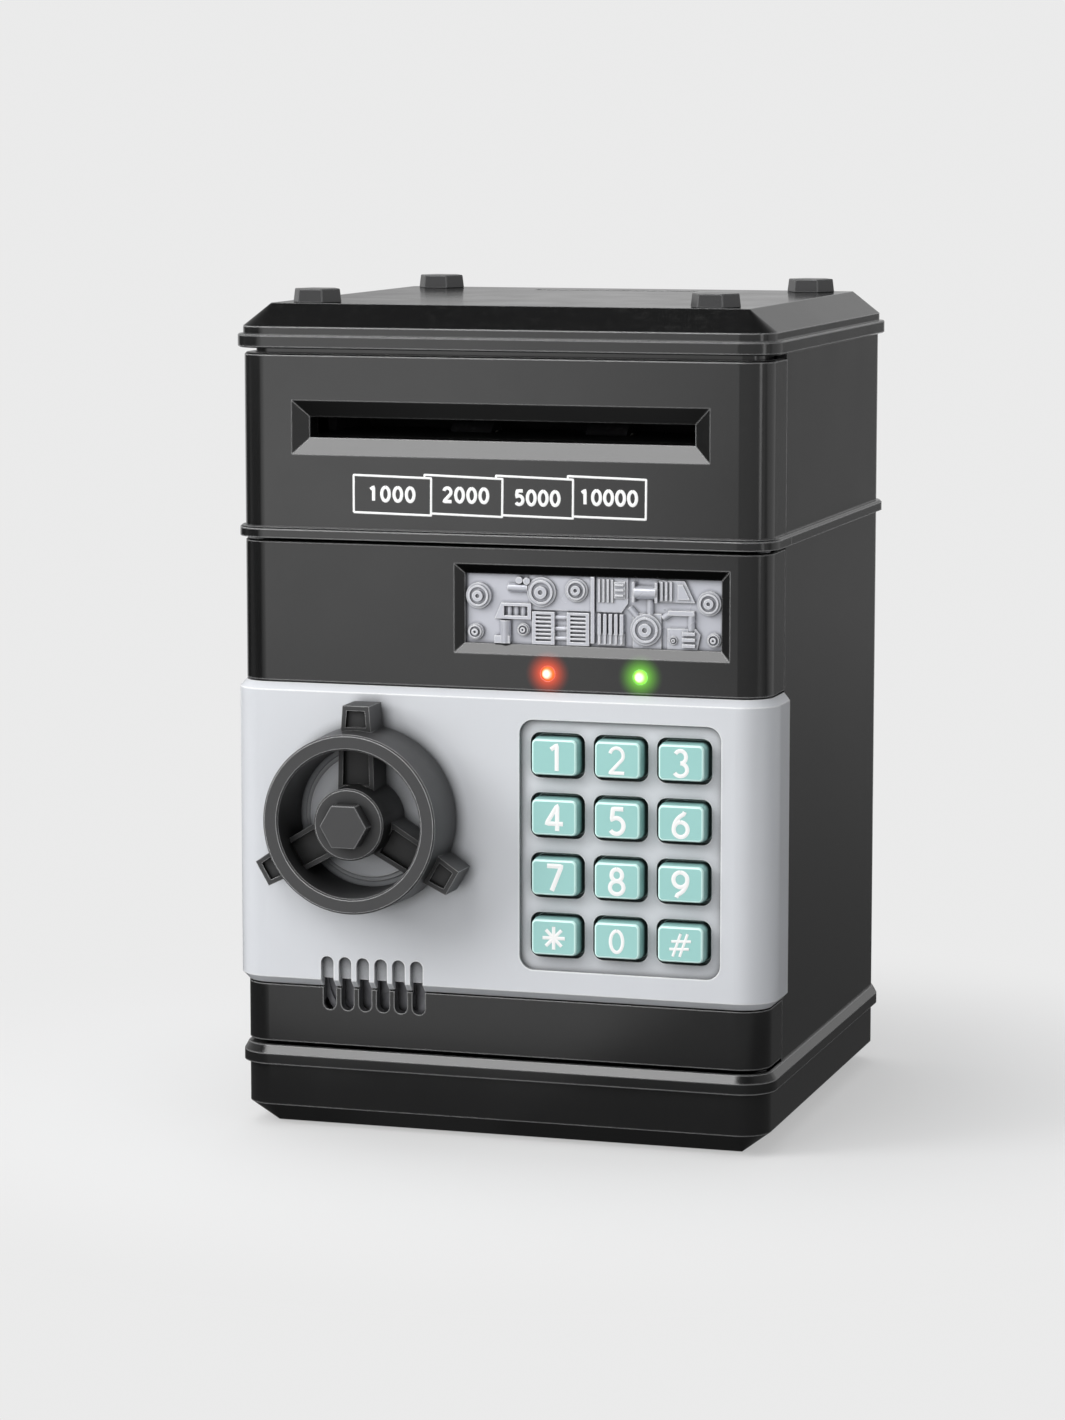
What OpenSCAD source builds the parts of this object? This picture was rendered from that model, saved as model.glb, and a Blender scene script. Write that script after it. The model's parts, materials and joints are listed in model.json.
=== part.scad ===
// Savings bank in the shape of a small safe with a cash machine front.
// Origin: centre of the resting face. +Z up, the front faces -Y, +X is to the right seen from the front.
// Lengths in millimetres, angles in degrees.

/* [Housing] */

// Width of the housing without its bands
body_w = 122.6; // [102:0.2:150]
// Depth of the housing without its bands
body_d = 113.2; // [94:0.2:138]
// Height from the resting face to the flat of the lid
body_h = 186.9; // [183:0.1:225]
// Wall thickness of the mouldings
wall = 2.4; // [1.8:0.1:3]
// Radius of the upright corners
corner_r = 6.6; // [6:0.1:8]
// Height of the base tray
base_h = 18.9; // [18.7:0.1:23]
// Distance from the front face to the side seam
seam_depth = 16.3; // [15.5:0.1:20]
// How far the rim bands stand out
band_out = 1.3; // [0.8:0.1:1.6]
// Height of the mid band's lower edge
mid_band_z = 134.6; // [134:0.1:137]

/* [Lid] */

// Width of the sloped edge of the lid
lid_slope_w = 6.4; // [5:0.1:6.5]
// Height of the sloped edge of the lid
lid_slope_h = 5.1; // [4:0.1:6]
// Distance across the flats of the bolt heads
bolt_flats = 10; // [8:0.1:12]
// Height of the bolt heads
bolt_head_h = 3.1; // [2:0.1:5]
// Distance from the housing's sides to the bolts
bolt_in_x = 15.1; // [14:0.1:20]
// Distance from the housing's front and back to the bolts
bolt_in_y = 12; // [11.6:0.1:14]
// Length of the coin slot
coin_slot_l = 40; // [30:0.5:44]
// Width of the coin slot
coin_slot_w = 4.6; // [4.4:0.1:5.5]

/* [Bill slot] */

// Width of the slot's bevelled mouth
bill_mouth_w = 96.4; // [90:0.2:102]
// Height of the slot's bevelled mouth
bill_mouth_h = 12.1; // [9:0.1:13]
// Width of the slot itself
bill_slot_w = 89; // [80:0.5:92]
// Height of the slot itself
bill_slot_h = 4.6; // [4.2:0.1:5]
// Height of the slot's centre line
bill_z = 159.55; // [158.5:0.05:160.5]
// Depth of the bevelled mouth
bill_mouth_depth = 1.8; // [1.2:0.1:2.2]

/* [Door panel] */

// Lower edge of the silver panel
panel_z0 = 32.9; // [31:0.1:36]
// Upper edge of the silver panel
panel_z1 = 102.6; // [101.6:0.1:104]
// How far the silver panel stands out
panel_out = 1.6; // [1:0.1:2]
// Left to right position of the keypad's centre
pad_x = 28.5; // [26:0.1:30]
// Height of the keypad's centre
pad_z = 68.1; // [67:0.1:69.5]
// Distance between key columns
key_dx = 14.5; // [14:0.1:15]
// Distance between key rows
key_dz = 13.45; // [13:0.05:14]
// How far a key travels
key_travel = 1.2; // [0.6:0.1:1.4]

/* [Handwheel] */

// Left to right position of the wheel's axis
wheel_x = -29.4; // [-31:0.1:-27]
// Height of the wheel's axis
wheel_z = 73.2; // [72:0.1:75]
// Outer radius of the wheel's ring
wheel_r = 20.1; // [17:0.1:21]
// Inner radius of the wheel's ring
wheel_bore_r = 16.6; // [13.5:0.1:16.9]
// Radius reached by the lugs
lug_r = 25.8; // [23:0.1:27]
// Depth of the wheel
wheel_depth = 14; // [11:0.5:16]

/* [Window] */

// Left edge of the window's bevelled mouth
win_x0 = -10.2; // [-12:0.1:-8]
// Right edge of the window's bevelled mouth
win_x1 = 52.9; // [50:0.1:53.5]
// Lower edge of the window's bevelled mouth
win_z0 = 110.3; // [109.5:0.1:111]
// Upper edge of the window's bevelled mouth
win_z1 = 130.2; // [128:0.1:130.6]

/* [Part to draw] */

// Name of the sub-part to draw, or all

/* [Hidden] */

$fn = 64;

// Small distances used throughout
eps = 0.01;
fit = 0.15;
slide_fit = 0.25;
run_fit = 0.05;

// Colours
black = [0.08, 0.08, 0.085];
silver = [0.78, 0.79, 0.82];
mint = [0.55, 0.84, 0.79];
steel = [0.7, 0.7, 0.72];
brass = [0.8, 0.65, 0.3];
rubber = [0.16, 0.16, 0.17];
board = [0.1, 0.35, 0.2];
white = [0.9, 0.9, 0.88];

// Housing levels and faces
front_y = -body_d / 2;
back_y = body_d / 2;
side_x = body_w / 2;
seam_y = front_y + seam_depth;
front_in = front_y + wall;
side_in = side_x - wall;
back_in = back_y - wall;
mid_band_h = 2.6;
lid_side_h = 4.7;
lid_z0 = body_h - lid_slope_h - lid_side_h;
lid_rim_h = 3;
neck_gap = 1.1;
shell_z1 = lid_z0 - neck_gap;
bolt_x = side_x - bolt_in_x;
bolt_y = back_y - bolt_in_y;
case_z1 = lid_z0 - fit;
door_z0 = base_h + 0.5;
door_z1 = mid_band_z - 0.4;
deck_z = mid_band_z + 4.4;
deck_t = 2;

// Door hinge: an upright axis inside the right front corner
hinge_in = 3;
hinge_back = 8;
hinge_x = side_x - hinge_in;
hinge_y = seam_y - hinge_back;
hinge_gap = 0.45;
pin_r = 1.5;
pin_boss_r = 3;
pin_reach = 6.6;

// Keypad
sock_w = 12.5;
sock_h = 10.1;
sock_r = 2.2;
key_gap = 0.75;
key_flange_out = 1.2;
pad_w = 46.1;
pad_h = 56.2;
pad_r = 3.3;
pad_depth = 1.2;
panel_y = front_y - panel_out;
panel_recess = 0.8;
panel_slope_h = 2;
panel_gap = 0.4;
key_front_y = panel_y - 2;
key_flange_y = front_in + fit;
key_flange_t = 1;

// Wheel
wheel_base_h = 1;
wheel_back_y = panel_y - wheel_base_h - 0.4;
wheel_front_y = wheel_back_y - wheel_depth;
arm_front_y = wheel_front_y + 5.5;
hub_r = 8.1;
spindle_r = 3;
hex_flats = 9.5;
hex_h = 3.5;

// Latch: pinion on the spindle, rack on the bolt
latch_y = front_y + 10.6;
latch_t = 4;
latch_module = 0.8;
latch_teeth = 12;
latch_pitch_r = latch_module * latch_teeth / 2;
latch_travel = latch_pitch_r * PI / 2;
rack_z = wheel_z + latch_pitch_r;
bar_z0 = rack_z + 1.1;
bar_h = 5;
keeper_t = 1.6;
bolt_tip_x = -side_in + 0.3 + latch_travel;
bar_l = 38;
plunger_x = bolt_tip_x + 11;
plunger_r = 1.4;
plunger_lift = 2.5;
plunger_slope = plunger_lift / latch_travel;

// Bill feed: two rollers, gears on their right ends, idler, motor
gear_module = 0.7;
roller_teeth = 14;
idler_teeth = 34;
pinion_teeth = 10;
roller_gap = 0.3;
roller_dz = gear_module * roller_teeth / 2;
tyre_r = roller_dz - roller_gap / 2;
roller_y = front_y + 34.6;
feed_y0 = roller_y - 8;
lower_z = bill_z - roller_dz;
upper_z = bill_z + roller_dz;
idler_d = gear_module * (roller_teeth + idler_teeth) / 2;
idler_y = roller_y + idler_d;
pinion_dir = 90;
pinion_d = gear_module * (idler_teeth + pinion_teeth) / 2;
motor_y = idler_y + pinion_d * cos(pinion_dir);
motor_z = lower_z + pinion_d * sin(pinion_dir);
cheek_x = bill_slot_w / 2 + 2.5;
cheek_t = 2;
gear_x = cheek_x + cheek_t + 1;
gear_t = 4;
shaft_r = 1.5;
tyre_x = 16;
tyre_w = 10;

// Base and battery bay
bay_l = 62;
bay_w = 46.5;
bay_y0 = 4;
bay_top = 17;
cell_r = 7.1;
cell_l = 49;
cell_pitch = 15.2;
cover_t = 2.2;
cover_lip = 1;
cell_z = cover_t + cell_r + 0.3;

// Coin slot place
coin_y = back_y - 18.8;

// Shapes used by several sub-parts

// Rounded rectangle, centred
module rr(w, h, r) {
    square([w - 2 * r, h], center = true);
    square([w, h - 2 * r], center = true);
    for (sx = [-1, 1], sy = [-1, 1])
        translate([sx * (w / 2 - r), sy * (h / 2 - r)])
            circle(r = r);
}

// Upright prism with rounded corners
module rr_prism(w, d, r, z0, z1) {
    translate([0, 0, z0])
        linear_extrude(z1 - z0)
            rr(w, d, r);
}

// Block whose outline [outward offset, height] runs all the way round, corners turned
module outlined(w, d, r, outline) {
    z0 = outline[0][1];
    z1 = outline[len(outline) - 1][1];
    for (sx = [-1, 1], sy = [-1, 1])
        translate([sx * (w / 2 - r), sy * (d / 2 - r), 0])
            rotate([0, 0, sy > 0 ? (sx > 0 ? 0 : 90) : (sx > 0 ? 270 : 180)])
                rotate_extrude(angle = 90)
                    polygon(concat([[0, z0]], [for (p = outline) [r + p[0], p[1]]], [[0, z1]]));
    along_x(-w / 2 + r, w - 2 * r)
        outline_section(d, outline);
    along_y(-d / 2 + r, d - 2 * r)
        outline_section(w, outline);
}

module outline_section(span, outline) {
    n = len(outline);
    polygon(concat([for (p = outline) [span / 2 + p[0], p[1]]],
        [for (i = [n - 1 : -1 : 0]) [-span / 2 - outline[i][0], outline[i][1]]]));
}

// 2D shape (Y across, Z up) drawn out along X
module along_x(x0, length) {
    translate([x0, 0, 0])
        rotate([90, 0, 90])
            linear_extrude(length)
                children();
}

// 2D shape (X across, Z up) drawn out along Y
module along_y(y0, length) {
    translate([0, y0 + length, 0])
        rotate([90, 0, 0])
            linear_extrude(length)
                children();
}

// Round bar along X, Y or Z from its start point
module rod_x(x0, y, z, r, length) {
    translate([x0, y, z])
        rotate([0, 90, 0])
            cylinder(r = r, h = length);
}

module rod_y(x, y0, z, r, length) {
    translate([x, y0, z])
        rotate([-90, 0, 0])
            cylinder(r = r, h = length);
}

module rod_z(x, y, z0, r, length) {
    translate([x, y, z0])
        cylinder(r = r, h = length);
}

// Box by its low corner and its size
module box(x0, y0, z0, w, d, h) {
    translate([x0, y0, z0])
        cube([w, d, h]);
}

// Mouth with four sloped sides in a face at y0, opening toward -Y
module bevel_mouth(x0, x1, z0, z1, inset, y0, depth) {
    intersection() {
        along_x(x0 - 1, x1 - x0 + 2)
            polygon([[y0 - 1, z0 - inset / depth], [y0 + depth, z0 + inset],
                [y0 + depth, z1 - inset], [y0 - 1, z1 + inset / depth]]);
        translate([0, 0, z0 - 1])
            linear_extrude(z1 - z0 + 2)
                polygon([[x0 - inset / depth, y0 - 1], [x0 + inset, y0 + depth],
                    [x1 - inset, y0 + depth], [x1 + inset / depth, y0 - 1]]);
    }
}

// Involute gear outline with its first tooth along +X
function inv_angle(a) = tan(a) * 180 / PI - a;
function flank_half(rp, rb, r, half) = half + inv_angle(acos(rb / rp)) - inv_angle(acos(min(1, rb / r)));
function at(r, a) = [r * cos(a), r * sin(a)];

module gear_outline(m, n, play) {
    rp = m * n / 2;
    rb = rp * cos(20);
    ra = rp + m;
    rf = rp - 1.2 * m;
    r0 = max(rb, rf);
    half = 90 / n - play / rp * 45 / PI;
    steps = 4;
    radii = [for (i = [0 : steps]) r0 + (ra - r0) * i / steps];
    polygon([for (k = [0 : n - 1])
        let (c = 360 * k / n)
        each concat([at(rf, c - flank_half(rp, rb, r0, half))],
            [for (r = radii) at(r, c - flank_half(rp, rb, r, half))],
            [for (i = [steps : -1 : 0]) at(radii[i], c + flank_half(rp, rb, radii[i], half))],
            [at(rf, c + flank_half(rp, rb, r0, half))])]);
}

// Housing

base_edge = 6.5;
base_edge_h = 4.9;
base_band_z0 = 14.5;
base_band_z1 = 16.9;
screw_hole_r = 1.6;

module base() {
    color(black)
    difference() {
        union() {
            outlined(body_w, body_d, corner_r, [[-base_edge, 0], [0, base_edge_h], [0, base_band_z0 - 0.2],
                [band_out, base_band_z0], [band_out, base_band_z1], [0.3, base_h - 0.2], [-0.1, base_h]]);
            rr_prism(body_w - 2 * wall - 2 * slide_fit, body_d - 2 * wall - 2 * slide_fit,
                corner_r - wall - slide_fit, base_h - 1, base_h + base_lip);
        }
        // well for coins, open at the top
        rr_prism(body_w - 2 * wall - 6, body_d - 2 * wall - 6, 2, bay_top + 1.6, base_h + base_lip + 1);
        difference() {
            rr_prism(body_w - 16, body_d - 16, 2, 3, bay_top + 2);
            box(-side_x, bay_y0 - 3, 0, body_w, back_y, 2 * bay_top);
            for (p = base_screw_places)
                rod_z(p[0], p[1], 0, post_r, base_h);
        }
        // front of the lip stays clear of the door
        box(-side_x - 1, front_y - 1, base_h, body_w + 2, seam_depth + 1 + 2, base_lip + 1);
        // battery bay, from below
        box(-bay_l / 2, bay_y0, cover_t - eps, bay_l, bay_w, bay_top - cover_t);
        // track of the sliding cover, open to the rear
        box(-bay_l / 2 - 3, bay_y0 - 2, cover_lip, bay_l + 6, back_y, cover_t - cover_lip);
        box(-bay_l / 2 - 1, bay_y0 - 2, -1, bay_l + 2, back_y, cover_lip + 1 + eps);
        // door pin and screws
        rod_z(hinge_x, hinge_y, base_h - pin_reach, pin_r, pin_reach + 1);
        for (p = base_screw_places) {
            rod_z(p[0], p[1], -1, 3.3, 4);
            rod_z(p[0], p[1], -1, screw_hole_r, base_h + base_lip + 2);
        }
    }
}

base_lip = 2;
base_screw_places = [[-49, 38], [49, 38], [-49, -30], [49, -30]];
post_r = 4;

// Edge of the side walls at the seam: curved round the hinge on the right, straight on the left
module seam_cut(z0, z1) {
    box(-side_x - 5, front_y - 5, z0, side_x + 5, seam_depth + 5 + fit, z1 - z0);
    difference() {
        box(-1, front_y - 5, z0, side_x + 6, seam_depth + 5 + hinge_gap, z1 - z0);
        difference() {
            box(hinge_x, seam_y - 1, z0 - 1, side_x, 2, z1 - z0 + 2);
            rod_z(hinge_x, hinge_y, z0 - 2, hinge_back + hinge_gap, z1 - z0 + 4);
        }
    }
}

module case() {
    color(black) {
        difference() {
            union() {
                rr_prism(body_w, body_d, corner_r, base_h, case_z1);
                outlined(body_w, body_d, corner_r, band_outline);
            }
            difference() {
                rr_prism(body_w - 2 * wall, body_d - 2 * wall, corner_r - wall, base_h - 1, case_z1 + 1);
                case_inside();
            }
            seam_cut(base_h - 1, mid_band_z);
            box(-side_x - 5, front_y - 5, mid_band_z - eps, body_w + 10, seam_depth + 5 + fit, case_z1);
            // shallow bare field on the back
            box(-30, back_y - 0.6, 60, 60, 2, 40);
            for (p = base_screw_places)
                rod_z(p[0], p[1], base_h - 1, 1.3, 16);
        }
        lid_brackets();
    }
}

band_outline = [[0, mid_band_z], [band_out, mid_band_z + 0.2], [band_out, mid_band_z + mid_band_h - 0.5],
    [band_out - 0.5, mid_band_z + mid_band_h]];

bracket_z0 = lid_z0 - 13.3;
bracket_h = 4;
mouth_block_d = 6.2;

// Posts, brackets and ledges inside the rear casing
module case_inside() {
    for (p = base_screw_places) {
        s = p[0] > 0 ? 1 : -1;
        rod_z(p[0], p[1], base_h + base_lip + 0.2, post_r, 14);
        box(min(p[0], s * (side_in + 1)), p[1] - 1, base_h + base_lip + 0.2,
            abs(s * (side_in + 1) - p[0]), 2, 14);
    }
    // ledge under the deck
    for (sx = [-1, 1])
        box(sx > 0 ? side_in - 2.5 : -side_in - 1, seam_y + 6, deck_z - 3, 3.5, body_d, 3);
    // stiffening ribs on the back wall
    for (x = [-36, 0, 36])
        box(x - 0.8, back_in - 2, base_h + base_lip + 4, 1.6, 3, deck_z - base_h - 12);
}

// Brackets in the casing's top corners that take the lid's bolts
module lid_brackets() {
    reach = side_in - bolt_x;
    bracket_y0 = seam_y + 0.5;
    bracket_front = front_y + 1 + mouth_block_d + 0.4;
    for (sx = [-1, 1])
        difference() {
            union() {
                box(sx > 0 ? bolt_x - 5 : -side_in - 1, bolt_y - 5, bracket_z0,
                    reach + 6, back_in + 6 - bolt_y, bracket_h);
                box(sx > 0 ? bolt_x - 5 : -side_in - 1, bracket_y0, bracket_z0, reach + 6,
                    feed_y0 - 0.3 - bracket_y0, bracket_h);
                box(sx > 0 ? bolt_x - 5 : -side_in + 1, bracket_front, bracket_z0, reach + 4,
                    seam_y + 2 - bracket_front, bracket_h);
            }
            for (sy = [-1, 1])
                rod_z(sx * bolt_x, sy * bolt_y, bracket_z0 - 1, 1.4, 20);
        }
}

module fascia() {
    inner = bill_slot_h / 2;
    color(black)
    difference() {
        union() {
            intersection() {
                difference() {
                    union() {
                        outlined(body_w, body_d, corner_r, [[0, mid_band_z], [0, shell_z1 - 0.5],
                            [-0.5, shell_z1]]);
                        outlined(body_w, body_d, corner_r, band_outline);
                    }
                    rr_prism(body_w - 2 * wall, body_d - 2 * wall, corner_r - wall,
                        mid_band_z + wall, shell_z1 + 1);
                }
                box(-body_w, front_y - 5, mid_band_z - 1, 2 * body_w, seam_depth + 5, shell_z1);
            }
            // block behind the slot
            box(-bill_mouth_w / 2 - 1, front_y + 1, bill_z - bill_mouth_h / 2 - 1.5,
                bill_mouth_w + 2, mouth_block_d, bill_mouth_h + 3);
            // tongues that run inside the casing's side walls
            for (sx = [-1, 1])
                box(sx > 0 ? side_in - 2 - slide_fit : -side_in + slide_fit, seam_y - 6,
                    mid_band_z + wall - 0.1, 2, 11, bracket_z0 - mid_band_z - wall - 1);
            for (sx = [-1, 1])
                box(sx > 0 ? side_in - 2 - slide_fit : -side_in - 0.5, seam_y - 6, mid_band_z + wall - 0.1,
                    2 + slide_fit + 0.5, 4, bracket_z0 - mid_band_z - wall - 1);
            // boss of the upper door pin
            rod_z(hinge_x - 0.4, hinge_y, mid_band_z + 0.5, pin_boss_r, pin_reach + 1);
        }
        // open floor behind the front lip, so that bills and coins can pass
        box(-side_in + 8, front_in + 6, mid_band_z - 1, 2 * side_in - 16, seam_depth, wall + 2);
        bevel_mouth(-bill_mouth_w / 2, bill_mouth_w / 2, bill_z - bill_mouth_h / 2, bill_z + bill_mouth_h / 2,
            (bill_mouth_h - bill_slot_h) / 2, front_y, bill_mouth_depth);
        box(-bill_slot_w / 2, front_y - 1, bill_z - inner, bill_slot_w, 12, bill_slot_h);
        rod_z(hinge_x, hinge_y, mid_band_z - 1, pin_r, pin_reach + 1);
    }
}

module lid() {
    neck = wall + slide_fit;
    color(black)
    difference() {
        union() {
            outlined(body_w, body_d, corner_r, [[band_out - 0.2, lid_z0], [band_out + 0.2, lid_z0 + 0.3],
                [band_out + 0.2, lid_z0 + lid_rim_h - 0.3], [band_out, lid_z0 + lid_rim_h],
                [0.3, lid_z0 + lid_rim_h],
                [0.3, lid_z0 + lid_side_h], [0.3 - lid_slope_w, body_h]]);
            rr_prism(body_w - 2 * neck, body_d - 2 * neck, corner_r - neck,
                bracket_z0 + bracket_h + fit, lid_z0 + 1);
        }
        rr_prism(body_w - 2 * neck - 4, body_d - 2 * neck - 4, 2.2, bracket_z0, lid_z0 - 1);
        rr_prism(body_w - 16, body_d - 16, 2, lid_z0 - 2, body_h - 2.4);
        translate([0, coin_y, body_h - 5])
            linear_extrude(10)
                square([coin_slot_l, coin_slot_w], center = true);
        for (sx = [-1, 1], sy = [-1, 1])
            rod_z(sx * bolt_x, sy * bolt_y, body_h - 5, 1.8, 10);
    }
}

module lid_bolts() {
    across = bolt_flats / cos(30);
    color(black)
    for (sx = [-1, 1], sy = [-1, 1])
        translate([sx * bolt_x, sy * bolt_y, 0]) {
            translate([0, 0, body_h])
                cylinder(d1 = across, d2 = across - 0.8, h = bolt_head_h, $fn = 6);
            translate([0, 0, bracket_z0 - 0.3])
                cylinder(r = 1.38, h = body_h - bracket_z0 + 0.4);
        }
}

module hinge_pins() {
    color(steel) {
        rod_z(hinge_x, hinge_y, base_h - pin_reach + fit, pin_r - 0.01, 2 * pin_reach - 0.5);
        rod_z(hinge_x, hinge_y, door_z1 - pin_reach + 0.6, pin_r - 0.01, 2 * pin_reach - 0.5);
    }
}

module base_screws() {
    color(steel)
    for (p = base_screw_places)
        translate([p[0], p[1], 0])
            difference() {
                union() {
                    translate([0, 0, 1.2])
                        cylinder(r = 3, h = 1.7);
                    translate([0, 0, 2])
                        cylinder(r = 1.28, h = base_h + 8);
                }
                for (a = [0, 90])
                    rotate([0, 0, a])
                        box(-1.8, -0.35, 0, 3.6, 0.7, 2.2);
            }
}

// Door and what it carries

flange_t = 1.6;
vent_w = 3;
vent_pitch = 4.24;
vent_z0 = base_h + 8.9;
vent_z1 = 40.3;
vent_depth = 1.6;
speaker_z = base_h + 16.6;
speaker_r = 13.2;
lamp_z = 106.35;
lamp_r = 1.5;
lamp_red_x = 11.5;
lamp_green_x = 32.7;
win_depth = wall;
win_bevel_d = 1.3;
win_inset = 2.2;
board_t = 1.6;
mat_t = 1.2;
mat_y = key_flange_y + key_flange_t + key_travel + 0.1;
key_board_y = mat_y + mat_t + 0.1;
liner_y = seam_y - 2.9;
liner_t = 2;
liner_x0 = -12;
liner_x1 = 54.5;
liner_z0 = 30;
liner_z1 = 126;
liner_posts = [[-9.5, 34], [-9.5, 104], [52.5, 33], [52.5, 104]];
board_posts = [for (sx = [-1, 1], sz = [-1, 1]) [pad_x + sx * 23.2, pad_z + sz * 28.4]];

function key_place(col, row) = [pad_x + (col - 1) * key_dx, pad_z + (1.5 - row) * key_dz];

// What may be part of the swinging front: everything ahead of the seam, rounded about the hinge
module swing_zone(z0, z1, radius) {
    box(-side_x - 5, front_y - 5, z0, side_x + 5 + hinge_x,
        seam_depth + 5 - fit - (hinge_back - radius), z1 - z0);
    box(hinge_x - 1, front_y - 5, z0, hinge_in + 6, hinge_y - front_y + 5, z1 - z0);
    rod_z(hinge_x, hinge_y, z0, radius, z1 - z0);
}

module key_openings(y0, depth) {
    for (col = [0 : 2], row = [0 : 3])
        along_y(y0, depth)
            translate(key_place(col, row))
                rr(sock_w, sock_h, sock_r);
}

module vent_slots(y0, depth, z0) {
    for (i = [0 : 5])
        along_y(y0, depth)
            translate([wheel_x + (i - 2.5) * vent_pitch, 0]) {
                translate([0, vent_z1 - vent_w / 2])
                    circle(d = vent_w);
                translate([0, z0 + vent_w / 2])
                    circle(d = vent_w);
                translate([-vent_w / 2, z0 + vent_w / 2])
                    square([vent_w, vent_z1 - z0 - vent_w]);
            }
}

module door() {
    color(black)
    difference() {
        union() {
            intersection() {
                outlined(body_w, body_d, corner_r, [[-0.4, door_z0], [0, door_z0 + 0.4], [0, panel_z0],
                    [-panel_recess, panel_z0], [-panel_recess, panel_z1], [0, panel_z1],
                    [0, door_z1 - 0.4], [-0.4, door_z1]]);
                swing_zone(door_z0 - 1, door_z1 + 1, hinge_back);
                door_solid_zone();
            }
            intersection() {
                union() {
                    rod_z(hinge_x - 0.4, hinge_y, door_z0, pin_boss_r, pin_reach + 2);
                    rod_z(hinge_x - 0.4, hinge_y, door_z1 - pin_reach - 2, pin_boss_r, pin_reach + 2);
                }
                swing_zone(door_z0, door_z1, hinge_back);
            }
            // frame behind the window
            box(win_x0 - 1.6, front_y + 1, win_z0 - 1.6, win_x1 - win_x0 + 3.2, win_depth - 1,
                win_z1 - win_z0 + 3.2);
            // ring round the speaker
            difference() {
                rod_y(wheel_x, front_in - 0.5, speaker_z, speaker_r + 1.4, 3.5);
                rod_y(wheel_x, front_in - 1, speaker_z, speaker_r + 0.2, 5);
            }
            for (p = board_posts)
                rod_y(p[0], front_in - 0.5, p[1], 1.6, key_board_y - front_in + 0.45);
        }
        bevel_mouth(win_x0, win_x1, win_z0, win_z1, win_inset, front_y, win_bevel_d);
        box(win_x0 + win_inset, front_y, win_z0 + win_inset, win_x1 - win_x0 - 2 * win_inset, 6,
            win_z1 - win_z0 - 2 * win_inset);
        for (x = [lamp_red_x, lamp_green_x])
            rod_y(x, front_y - 1, lamp_z, lamp_r + 0.1, wall + 2);
        key_openings(front_y - 1, wall + 2);
        vent_slots(front_y - 3, wall + 4, vent_z0);
        rod_y(wheel_x, front_y - 1, wheel_z, spindle_r + run_fit, wall + 3);
        rod_z(hinge_x, hinge_y, door_z0 - 1, pin_r + run_fit, pin_reach + 1);
        rod_z(hinge_x, hinge_y, door_z1 - pin_reach, pin_r + run_fit, pin_reach + 1);
    }
}

// The door's wall and its top and bottom flanges, as a zone
module door_solid_zone() {
    difference() {
        box(-body_w, -body_d, 0, 2 * body_w, 2 * body_d, body_h);
        rr_prism(body_w - 2 * wall, body_d - 2 * wall, corner_r - wall,
            door_z0 + flange_t, door_z1 - flange_t);
        box(-side_in, seam_y - 4, -1, 2 * side_in, body_d, body_h + 2);
    }
}

module panel() {
    color(silver)
    difference() {
        union() {
            intersection() {
                outlined(body_w, body_d, corner_r, [[0.05, panel_z0 + panel_gap],
                    [panel_out, panel_z0 + panel_slope_h], [panel_out, panel_z1 - panel_slope_h],
                    [0.05, panel_z1 - panel_gap]]);
                swing_zone(panel_z0 - 1, panel_z1 + 1, hinge_back - 0.1);
            }
            // round platform of the wheel
            rod_y(wheel_x, panel_y - wheel_base_h, wheel_z, 14, wheel_base_h + 0.5);
            rod_y(wheel_x, panel_y - 0.4, wheel_z, 15, 1);
        }
        rr_prism(body_w - 2 * panel_recess + 0.1, body_d - 2 * panel_recess + 0.1,
            corner_r - panel_recess + 0.05, panel_z0 - 1, panel_z1 + 1);
        along_y(panel_y - 2, 2 + pad_depth)
            translate([pad_x, pad_z])
                rr(pad_w, pad_h, pad_r);
        key_openings(panel_y - 1, panel_out + 3);
        // sound slots: shallow on the flat, open on the panel's lower slope
        vent_slots(panel_y - 1, 1 + vent_depth, panel_z0 - 4);
        intersection() {
            vent_slots(panel_y - 1, panel_out + 3, panel_z0 - 4);
            box(-side_x, panel_y - 2, panel_z0 - 4, body_w, panel_out + 5, 4 + panel_slope_h + 0.2);
        }
        rod_y(wheel_x, panel_y - 3, wheel_z, spindle_r + 0.4, 8);
    }
}

// Key with a tapered cap and a flange that keeps it in the door
module key(col, row) {
    p = key_place(col, row);
    w = sock_w - 2 * key_gap;
    h = sock_h - 2 * key_gap;
    r = sock_r - key_gap;
    base_y = key_flange_y + key_flange_t;
    reach = base_y - key_front_y;
    color(mint)
    translate([p[0], base_y, p[1]])
        rotate([90, 0, 0]) {
            linear_extrude(key_flange_t)
                rr(w + 2 * key_flange_out, h + 2 * key_flange_out, r + key_flange_out);
            outlined(w, h, r, [[0, key_flange_t - eps], [0, reach - 2.6], [-0.3, reach - 0.3],
                [-0.55, reach]]);
        }
}

module key_1() key(0, 0);
module key_2() key(1, 0);
module key_3() key(2, 0);
module key_4() key(0, 1);
module key_5() key(1, 1);
module key_6() key(2, 1);
module key_7() key(0, 2);
module key_8() key(1, 2);
module key_9() key(2, 2);
module key_star() key(0, 3);
module key_0() key(1, 3);
module key_hash() key(2, 3);

module dome_mat() {
    color(rubber)
    difference() {
        box(pad_x - 22.9, mat_y, pad_z - 28.2, 45.8, mat_t, 56.4);
        for (p = board_posts)
            rod_y(p[0], mat_y - 1, p[1], 1.8, 4);
        for (col = [0 : 2], row = [0 : 3])
            let (p = key_place(col, row))
            difference() {
                rod_y(p[0], mat_y - 1, p[1], 4, 1.4);
                rod_y(p[0], mat_y - 2, p[1], 3.2, 4);
            }
    }
}

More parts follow.
